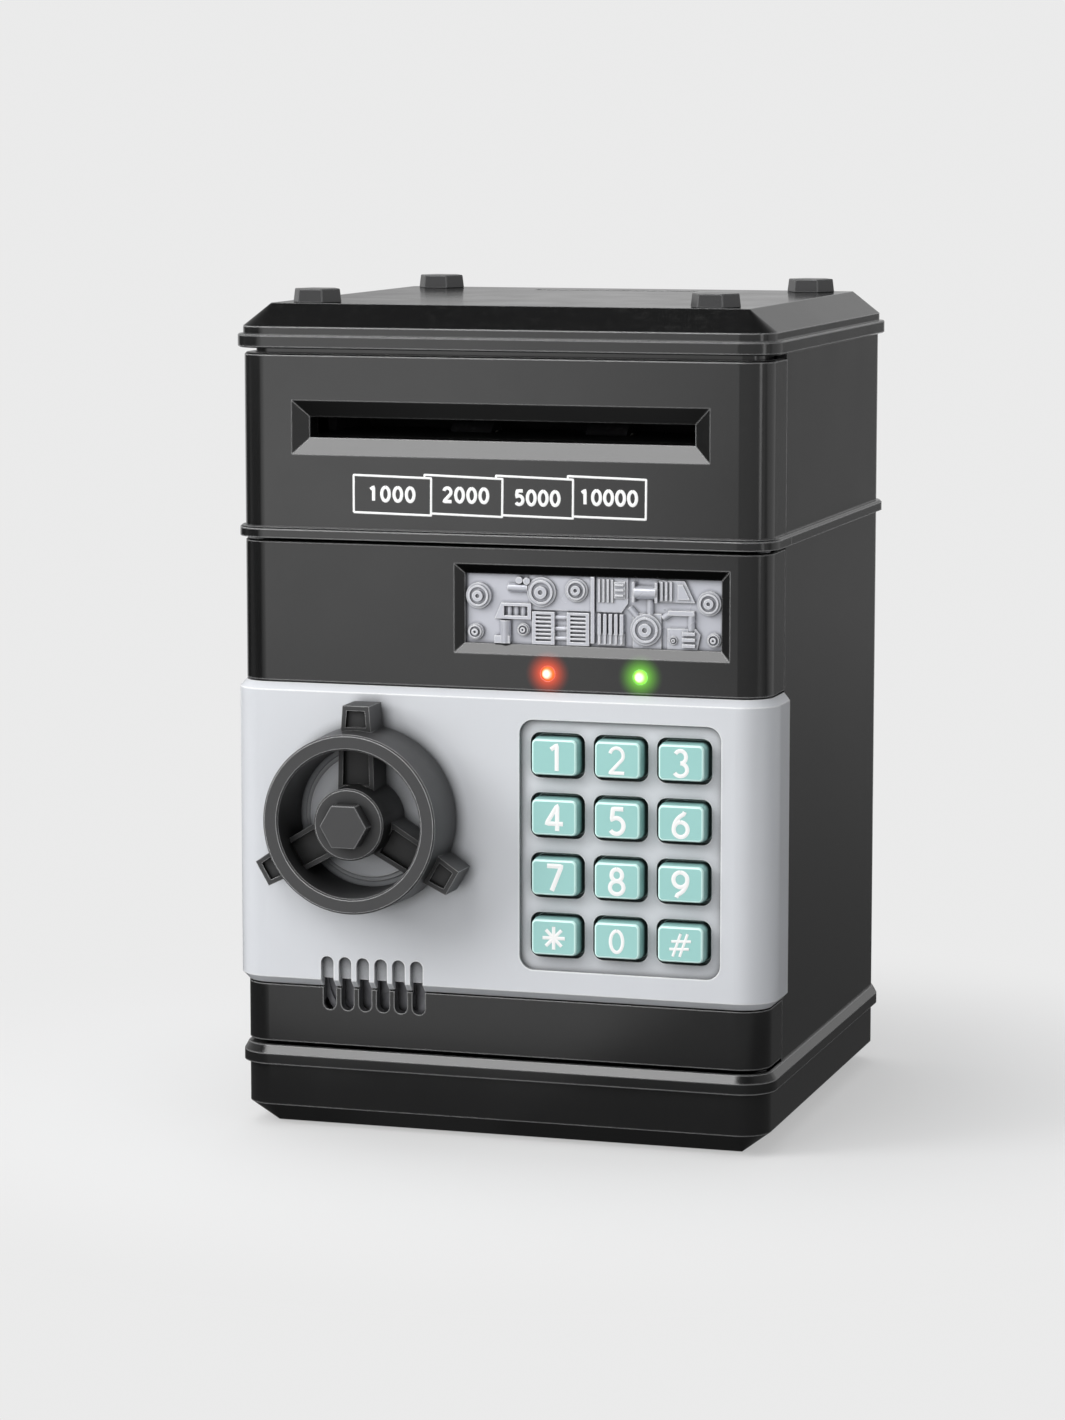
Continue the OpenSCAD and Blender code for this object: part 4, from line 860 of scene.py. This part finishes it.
@dataclass
class RaisedInk:
    """Flat white marks laid on an upright face that looks toward -Y.

    Attributes:
        face_y: where the face is.
        width: width of the pen.
        height: how far the ink stands proud.
        slot: the record's material slot; not used.
        corner: turns of more than this many degrees are sharp corners.
        corner_reach: how far from such a corner the added points lie, as a share of the width.
    """

    face_y: float
    width: float
    height: float = 0.06 * MM
    slot: str = "white_plastic"
    corner: float = 25.0
    corner_reach: float = 0.3

    def squared(self, stroke: Stroke) -> Stroke:
        """Adds a point on each side of every sharp corner, so that the pen keeps its width.

        Args:
            stroke: the points of one stroke.

        Returns:
            The points with the added ones.
        """
        reach = self.corner_reach * self.width
        points = [Vector(point) for point in stroke]
        full = [points[0]]
        for before, corner, after in zip(points, points[1:], points[2:]):
            come, go = corner - before, after - corner
            if come.angle(go, 0.0) > math.radians(self.corner):
                full += [corner - come.normalized() * min(reach, come.length / 2), corner,
                         corner + go.normalized() * min(reach, go.length / 2)]
            else:
                full.append(corner)
        return [tuple(point) for point in [*full, points[-1]]]

    def draw(self, name: str, strokes: list[Stroke], body: str, material: Material) -> Piece:
        """Draws strokes as one flat mesh piece.

        Args:
            name: the piece's name.
            strokes: points across and up, in metres.
            body: the body it rides on.
            material: its finish.

        Returns:
            The piece.
        """
        deselect_all()
        bpy.ops.curve.primitive_bezier_curve_add(location=(0.0, 0.0, 0.0))
        pen = bpy.context.object
        pen.data.splines.clear()
        pen.data.dimensions = "3D"
        pen.data.bevel_depth = self.width / 2
        pen.data.bevel_resolution = 2
        pen.data.use_fill_caps = True
        for stroke in (self.squared(stroke) for stroke in strokes):
            spline = pen.data.splines.new("POLY")
            spline.points.add(len(stroke) - 1)
            for point, (across, up) in zip(spline.points, stroke):
                point.co = (across, 0.0, up, 1.0)
        pick(pen)
        bpy.ops.object.convert(target="MESH")
        ink = bpy.context.object
        ink.scale = (1.0, 2 * self.height / self.width, 1.0)
        ink.location = (0.0, self.face_y, 0.0)
        settle(ink, name)
        bpy.ops.object.mode_set(mode="EDIT")
        bpy.ops.mesh.select_all(action="SELECT")
        bpy.ops.mesh.remove_doubles(threshold=INK_MERGE)
        bpy.ops.mesh.normals_make_consistent(inside=False)
        bpy.ops.object.mode_set(mode="OBJECT")
        bpy.ops.object.shade_smooth_by_angle(angle=SMOOTH_ANGLE)
        dress(ink, material)
        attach(ink, body)
        return ink


@dataclass
class SlotLabels:
    """The row of outlined plain numbers under the bill slot, stacked like notes.

    Attributes:
        face_y: front face of the housing.
        outline: width of the frame lines.
        digit_height: height of the numbers.
        digit_width: width of a digit as a share of its height.
        digit_pen: width of the numbers' strokes.
    """

    face_y: float
    outline: float = 0.5 * MM
    digit_height: float = 3.3 * MM
    digit_width: float = 0.60
    digit_pen: float = 0.75 * MM

    def frames(self) -> list[Stroke]:
        """Gives the frame lines, each box but the first tucked behind the one before."""
        lines = [
            [(-33.6, 140.95), (-33.6, 149.25), (-15.45, 148.9), (-15.5, 140.65), (-33.6, 140.95)],
            [(-17.0, 149.0), (-17.0, 149.65), (1.1, 149.15), (1.0, 140.75), (-15.4, 141.1)],
            [(-0.4, 149.25), (-0.4, 149.85), (17.3, 149.4), (17.25, 140.85), (1.1, 141.15)],
            [(16.1, 149.5), (16.1, 150.15), (33.9, 149.75), (33.85, 141.05), (17.35, 141.3)],
        ]
        return [[(x * MM, z * MM) for x, z in line] for line in lines]

    def number(self, text: str, left: float, low: float, width: float) -> list[Stroke]:
        """Sets a number, given its left end, its foot and its whole width."""
        step = (width - self.digit_width * self.digit_height) / (len(text) - 1)
        return [[(left + index * step + x * self.digit_height, low + z * self.digit_height)
                 for x, z in stroke]
                for index, sign in enumerate(text) for stroke in numeral_strokes(sign)]

    def build(self, shelf: FinishShelf) -> None:
        """Draws the frames and the four numbers."""
        frames = RaisedInk(self.face_y, self.outline)
        frames.draw("label_frames", self.frames(), HOUSING, shelf["print"])
        numbers = RaisedInk(self.face_y, self.digit_pen)
        places = (("1000", -30.05, 143.5, 10.65), ("2000", -12.7, 143.7, 10.45),
                  ("5000", 3.95, 143.5, 10.2), ("10000", 18.9, 143.95, 12.9))
        for text, left, low, width in places:
            strokes = self.number(text, left * MM, low * MM, width * MM)
            numbers.draw("label_" + text, strokes, HOUSING, shelf["print"])
        log.info("slot labels: frames and %d numbers", len(places))


@dataclass
class KeyLegend:
    """The white sign on one key.

    Attributes:
        node: the key's CAD node.
        sign: the digit or sign.
        width: width of the sign's cell as a share of its height.
        height: height of the sign.
        pen: width of its strokes.
        drop: how far it sits below the key's middle.
    """

    node: str
    sign: str
    width: float = 0.62
    height: float = 6.1 * MM
    pen: float = 0.85 * MM
    drop: float = 0.1 * MM

    def build(self, shelf: FinishShelf) -> Piece:
        """Draws the sign at the middle of the key's face."""
        low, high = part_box(self.node)
        left = (low.x + high.x) / 2 - self.width * self.height / 2
        foot = (low.z + high.z) / 2 - self.height / 2 - self.drop
        strokes = [[(left + x * self.height, foot + z * self.height) for x, z in stroke]
                   for stroke in numeral_strokes(self.sign)]
        ink = RaisedInk(low.y, self.pen)
        return ink.draw(self.node + ".legend", strokes, self.node + "_body", shelf["print"])


@dataclass
class Keypad:
    """Twelve keys with rounded caps and raised white signs.

    Attributes:
        edge: radius of the caps' edges.
        slim: how much narrower a cap is on each side than its CAD node.
    """

    edge: float = 0.45 * MM
    slim: float = 0.08 * MM

    def legends(self) -> list[KeyLegend]:
        """Lists the keys' signs."""
        pens = {"3": 0.9, "4": 1.0, "5": 1.0, "6": 0.95, "7": 1.05, "8": 0.95, "9": 0.95}
        return [KeyLegend("key_" + sign, sign, pen=pen * MM) for sign, pen in pens.items()] + [
            KeyLegend("key_1", "1", 0.46, height=6.2 * MM, pen=0.95 * MM),
            KeyLegend("key_2", "2", 0.66, pen=0.78 * MM),
            KeyLegend("key_star", "*", 1.0, height=5.6 * MM, pen=0.78 * MM),
            KeyLegend("key_0", "0", height=5.2 * MM, pen=0.78 * MM),
            KeyLegend("key_hash", "#", 1.0, height=5.6 * MM, pen=0.62 * MM),
        ]

    def build(self, shelf: FinishShelf) -> None:
        """Rounds the caps and draws the signs."""
        legends = self.legends()
        for legend in legends:
            cap = RoundedMoulding(legend.node, self.edge, slim=self.slim)
            # The caps' rounded edges take a lighter edge finish: a painted highlight.
            cap.build(shelf["key_mint"], shelf["key_edge"])
            legend.build(shelf)
        log.info("keypad: %d caps and their signs", len(legends))


# Copies that stand for mouldings


@dataclass
class RoundedHeads:
    """The bolt heads and the wheel's spindle, with rounded edges.

    Attributes:
        heads: each CAD node with its edges' finish, a lighter tone that paints a highlight on them,
            and their radius.
    """

    heads: tuple[tuple[str, str, float], ...] = (("lid_bolts", "black_edge", 0.25 * MM),
                                                 ("spindle", "wheel_edge", 0.24 * MM))

    def build(self, shelf: FinishShelf) -> None:
        """Builds a rounded copy of each."""
        for node, edge, radius in self.heads:
            piece = RoundedMoulding(node, radius).build(shelf[SLOTS[node]], shelf[edge])
            log.info("%s: rounded, %d faces", piece.name, len(piece.data.polygons))


@dataclass
class FlushCasing:
    """The rear casing, on whose copy the lid's brackets end flush with the upright rear corners.

    Attributes:
        node: the CAD node's name.
        half_width: from the middle to the casing's side.
        back: from the middle to the casing's back.
        corner: radius of its upright corners.
        span: just below and just above the brackets.
    """

    node: str = "case"
    half_width: float = 61.3 * MM
    back: float = 56.6 * MM
    corner: float = 6.6 * MM
    span: Point2 = (163.7 * MM, 167.9 * MM)

    def build(self, shelf: FinishShelf) -> None:
        """Copies the casing and moves the brackets' outer corners onto the rounding."""
        copy = merged_copy(self.node, keep_shading=True)
        settle(copy, self.node + ".moulding")
        middle = Vector((self.half_width - self.corner, self.back - self.corner))
        moved = 0
        for vertex in copy.data.vertices:
            arm = Vector((abs(vertex.co.x), vertex.co.y)) - middle
            if (self.span[0] < vertex.co.z < self.span[1] and min(arm) > 0.0
                    and arm.length > self.corner):
                flush = middle + arm.normalized() * self.corner
                vertex.co.x, vertex.co.y = math.copysign(flush.x, vertex.co.x), flush.y
                moved += 1
        dress(copy, shelf[SLOTS[self.node]])
        stand_in(copy, self.node)
        log.info("%s: %d points moved", copy.name, moved)


# Floor, light and camera


@dataclass(frozen=True)
class FloorGlow:
    """How brightly gloss shows the floor, zone by zone, so that each face mirrors what it should.

    Attributes:
        near, wide: the strip just ahead of the bank and the floor further ahead.
        left, right: where both end, by slant.
        turn: how the right end turns further ahead.
        behind, behind_left: the floor far behind, and how much of it there is on the left.
        back: the floor that the back mirrors.
        back_lean, back_end: how its right end leans, and where it is.
        back_fan, back_start: how its left end leans, and where it is.
        corner: the floor that the right rear corner mirrors.
        corner_lean, corner_start: how its left end leans, and where it is.
        sides: the floor beside the bank, on the right and on the left.
        sides_front, sides_back: where it ends ahead and behind.
    """

    near: Ramp = Ramp(-0.115, -0.175, 0.03, 0.63)
    wide: Ramp = Ramp(-0.50, -1.15, 0.0, 0.45)
    left: Ramp = Ramp(0.50, 0.85, 1.0, 0.02)
    right: Ramp = Ramp(-0.03, 0.09, 0.25)
    turn: Ramp = Ramp(-0.25, -1.10, 0.0, 0.215)
    behind: Ramp = Ramp(0.10, 1.00, 0.08, 0.17)
    behind_left: Ramp = Ramp(-0.40, -0.05, 0.2)
    back: Ramp = Ramp(0.05, 0.45, 0.0, 0.70)
    back_lean: float = -0.12
    back_end: Ramp = Ramp(0.06, 0.0)
    back_fan: float = 1.5
    back_start: Ramp = Ramp(-0.15, 0.10)
    corner: Ramp = Ramp(0.06, 0.40, 0.0, 0.45)
    corner_lean: float = -0.45
    corner_start: Ramp = Ramp(0.04, 0.12)
    sides: tuple[Ramp, Ramp] = (Ramp(0.08, 0.40, 0.0, 0.24), Ramp(-0.08, -0.40, 0.0, 0.12))
    sides_front: Ramp = Ramp(-0.50, -0.25)
    sides_back: Ramp = Ramp(0.18, 0.02)

    def strength(self, sheet: NodeSheet) -> Socket:
        """Builds the glow on the floor's nodes and gives its brightness."""
        axes = sheet.axes(sheet.place())
        across, along = axes["X"], axes["Y"]
        slant = sheet.slant(axes)
        turned = sheet.math("SUBTRACT", slant, sheet.ramp(along, self.turn))
        ahead = sheet.times(
            sheet.math("ADD", sheet.ramp(along, self.near), sheet.ramp(along, self.wide)),
            sheet.zone((slant, self.left), (turned, self.right)))
        behind = sheet.zone((along, self.behind), (across, self.behind_left))
        back = sheet.zone(
            (along, self.back),
            (sheet.leaning(across, along, self.back_lean), self.back_end),
            (sheet.leaning(across, along, self.back_fan), self.back_start))
        corner = sheet.zone(
            (along, self.corner),
            (sheet.leaning(across, along, self.corner_lean), self.corner_start))
        sides = sheet.times(
            sheet.math("ADD", *(sheet.ramp(across, side) for side in self.sides)),
            sheet.zone((along, self.sides_front), (along, self.sides_back)))
        return sheet.math("ADD", ahead, sheet.brightest(behind, corner, back, sides))


@dataclass(frozen=True)
class RoomGlow:
    """How brightly gloss shows the room round the bank, by direction.

    Attributes:
        rear, rear_left: the room behind, and how much of it there is on the left.
        sides, front: the room on both sides and ahead.
        height: how all of that fades upwards.
        wall, wall_top: the low wall far ahead, and where it ends upwards.
        wall_left, wall_right: where it ends on the left and on the right, by slant.
    """

    rear: Ramp = Ramp(0.45, 0.80, 0.10)
    rear_left: Ramp = Ramp(-0.36, -0.29, 0.68)
    sides: Ramp = Ramp(0.38, 0.75, 0.0, 0.9)
    front: Ramp = Ramp(-0.50, -0.80, 0.0, 0.9)
    height: Ramp = Ramp(0.10, 0.70, 0.56, 0.14)
    wall: Ramp = Ramp(-0.60, -0.85, 0.0, 1.1)
    wall_top: Ramp = Ramp(0.05, 0.16, 1.0, 0.0)
    wall_left: Ramp = Ramp(0.50, 0.80, 1.0, 0.0)
    wall_right: Ramp = Ramp(0.0, 0.28, 0.1)

    def strength(self, sheet: NodeSheet) -> Socket:
        """Builds the glow on the world's nodes and gives its brightness."""
        axes = sheet.axes(sheet.add("TexCoord").outputs["Generated"])
        rear = sheet.zone((axes["Y"], self.rear), (axes["X"], self.rear_left))
        sides = sheet.ramp(sheet.math("ABSOLUTE", axes["X"]), self.sides)
        room = sheet.brightest(rear, sides, sheet.ramp(axes["Y"], self.front))
        slant = sheet.slant(axes)
        wall = sheet.zone((axes["Y"], self.wall), (axes["Z"], self.wall_top),
                          (slant, self.wall_left), (slant, self.wall_right))
        return sheet.brightest(sheet.times(room, sheet.ramp(axes["Z"], self.height)), wall)


@dataclass(frozen=True)
class SoftBox:
    """A soft lamp that faces the bank's middle.

    Attributes:
        name: its name.
        place: where it hangs.
        size: its width and height.
        radiance: how bright its face is, where 1 is white.
        mirrored: whether gloss shows it.
        power: watts for each square metre at a radiance of 1.
    """

    name: str
    place: Colour
    size: Point2
    radiance: float
    mirrored: bool = False
    power: float = 4.0

    def hang(self, target: Vector) -> None:
        """Hangs the lamp and turns it to the target."""
        data = bpy.data.lights.new(self.name, "AREA")
        data.shape = "RECTANGLE"
        data.size, data.size_y = self.size
        data.energy = self.power * self.radiance * self.size[0] * self.size[1]
        data.use_shadow = True
        lamp = bpy.data.objects.new(self.name, data)
        bpy.context.scene.collection.objects.link(lamp)
        lamp.location = self.place
        lamp.rotation_euler = (target - lamp.location).to_track_quat("-Z", "Y").to_euler()
        lamp.visible_glossy = self.mirrored


@dataclass
class Studio:
    """Pale floor and backdrop, soft lamps and the camera at the photograph's viewpoint.

    Attributes:
        backdrop: colour of floor and background.
        shadow_catch: the lit floor's own colour close to the bank.
        bounce: the floor's colour in the light that it throws back.
        fill: light from all round.
        fade: how the lit floor changes into the plain backdrop, by the distance.
        floor_radius, floor_gap: the round floor's radius and how far it lies below the bank.
        floor_glow, room_glow: what gloss shows of floor and room.
        middle: what the lamps face.
        lamps: the key ahead on the left, the lamps that fill in, and the strip on the right.
        camera_place: where the camera stands.
        azimuth, elevation: how far to the right it stands and looks down, in degrees.
        lens, sensor: focal length and width of the frame, in millimetres.
    """

    backdrop: Colour = (0.828, 0.828, 0.828)
    shadow_catch: Colour = (0.655, 0.655, 0.655)
    bounce: Colour = (0.30, 0.30, 0.30)
    fill: Colour = (0.45, 0.455, 0.465)
    fade: Ramp = Ramp(0.09, 0.20, 0.5)
    floor_radius: float = 8.0
    floor_gap: float = 0.2 * MM
    floor_glow: FloorGlow = FloorGlow()
    room_glow: RoomGlow = RoomGlow()
    middle: Colour = (0.0, 0.0, 0.1)
    lamps: tuple[SoftBox, ...] = (
        SoftBox("key", (-0.42, -0.95, 1.13), (0.85, 0.62), 3.2, mirrored=True),
        SoftBox("overhead", (-0.2, 0.15, 1.5), (1.0, 1.0), 2.5),
        SoftBox("left", (-0.72, -0.55, 0.50), (0.4, 0.5), 7.6),
        SoftBox("front", (0.1, -1.4, 0.5), (1.0, 0.8), 1.4),
        SoftBox("right strip", (1.25, -0.50, 0.22), (0.2, 0.9), 1.0, mirrored=True),
    )
    camera_place: Colour = (0.28807, -0.96983, 0.22814)
    azimuth: float = 17.05
    elevation: float = 7.75
    lens: float = 110.5
    sensor: float = 36.0

    def floor(self) -> None:
        """Lays a round floor that keeps the bank's shadow and fades into the backdrop."""
        deselect_all()
        bpy.ops.mesh.primitive_circle_add(vertices=96, radius=self.floor_radius, fill_type="NGON",
                                          location=(0.0, 0.0, -self.floor_gap))
        plate = settle(bpy.context.object, "floor")
        material = bpy.data.materials.new("pale floor")
        material.use_nodes = True
        sheet = NodeSheet(material.node_tree)
        path = sheet.add("LightPath")
        matt = sheet.add("BsdfDiffuse", {
            "Color": sheet.mix(path.outputs["Is Diffuse Ray"], self.shadow_catch, self.bounce)})
        plain = sheet.add("Emission", {"Color": self.backdrop})
        far = sheet.ramp(sheet.length(sheet.place()), self.fade, "SMOOTHSTEP")
        seen = sheet.blend(sheet.times(far, path.outputs["Is Camera Ray"]), matt, plain)
        mirrored = sheet.add("Emission", {"Strength": self.floor_glow.strength(sheet)})
        both = sheet.seen_in_gloss(path, seen, mirrored)
        sheet.add("OutputMaterial", {"Surface": both.outputs[0]})
        dress(plate, material)

    def world(self) -> None:
        """Sets the plain fill, the background that the camera sees and the one that gloss shows."""
        world = bpy.data.worlds.new("studio")
        bpy.context.scene.world = world
        world.use_nodes = True
        sheet = NodeSheet(world.node_tree)
        path = sheet.add("LightPath")
        fill = sheet.add("Background", {"Color": self.fill})
        mirrored = sheet.add("Background", {
            "Color": (1.0, 1.0, 1.0), "Strength": self.room_glow.strength(sheet)})
        seen = sheet.add("Background", {"Color": self.backdrop})
        unseen = sheet.seen_in_gloss(path, fill, mirrored)
        both = sheet.blend(path.outputs["Is Camera Ray"], unseen, seen)
        sheet.add("OutputWorld", {"Surface": both.outputs[0]})

    def camera(self) -> None:
        """Stands the camera at the photograph's viewpoint."""
        data = bpy.data.cameras.new("camera")
        data.lens = self.lens
        data.sensor_width = self.sensor
        data.clip_start = 10 * MM
        camera = bpy.data.objects.new("camera", data)
        bpy.context.scene.collection.objects.link(camera)
        camera.location = self.camera_place
        camera.rotation_euler = (math.radians(90 - self.elevation), 0.0,
                                 math.radians(self.azimuth))
        bpy.context.scene.camera = camera

    def build(self) -> None:
        """Builds the whole stage."""
        self.floor()
        self.world()
        for lamp in self.lamps:
            lamp.hang(Vector(self.middle))
        self.camera()
        bpy.context.scene.view_settings.view_transform = "Standard"
        log.info("studio: floor, room, %d lamps and camera", len(self.lamps))


def main() -> None:
    """Builds the looks in order."""
    logging.basicConfig(level=logging.INFO, format="%(message)s")
    shelf = FinishShelf(SharedEffects())
    shelf.stock()
    shelf.dress_nodes()
    RoundedHeads().build(shelf)
    FlushCasing().build(shelf)
    Keypad().build(shelf)
    SlotLabels(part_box("fascia")[0].y + BAND_OUT).build(shelf)
    Studio().build()


if __name__ == "__main__":
    main()
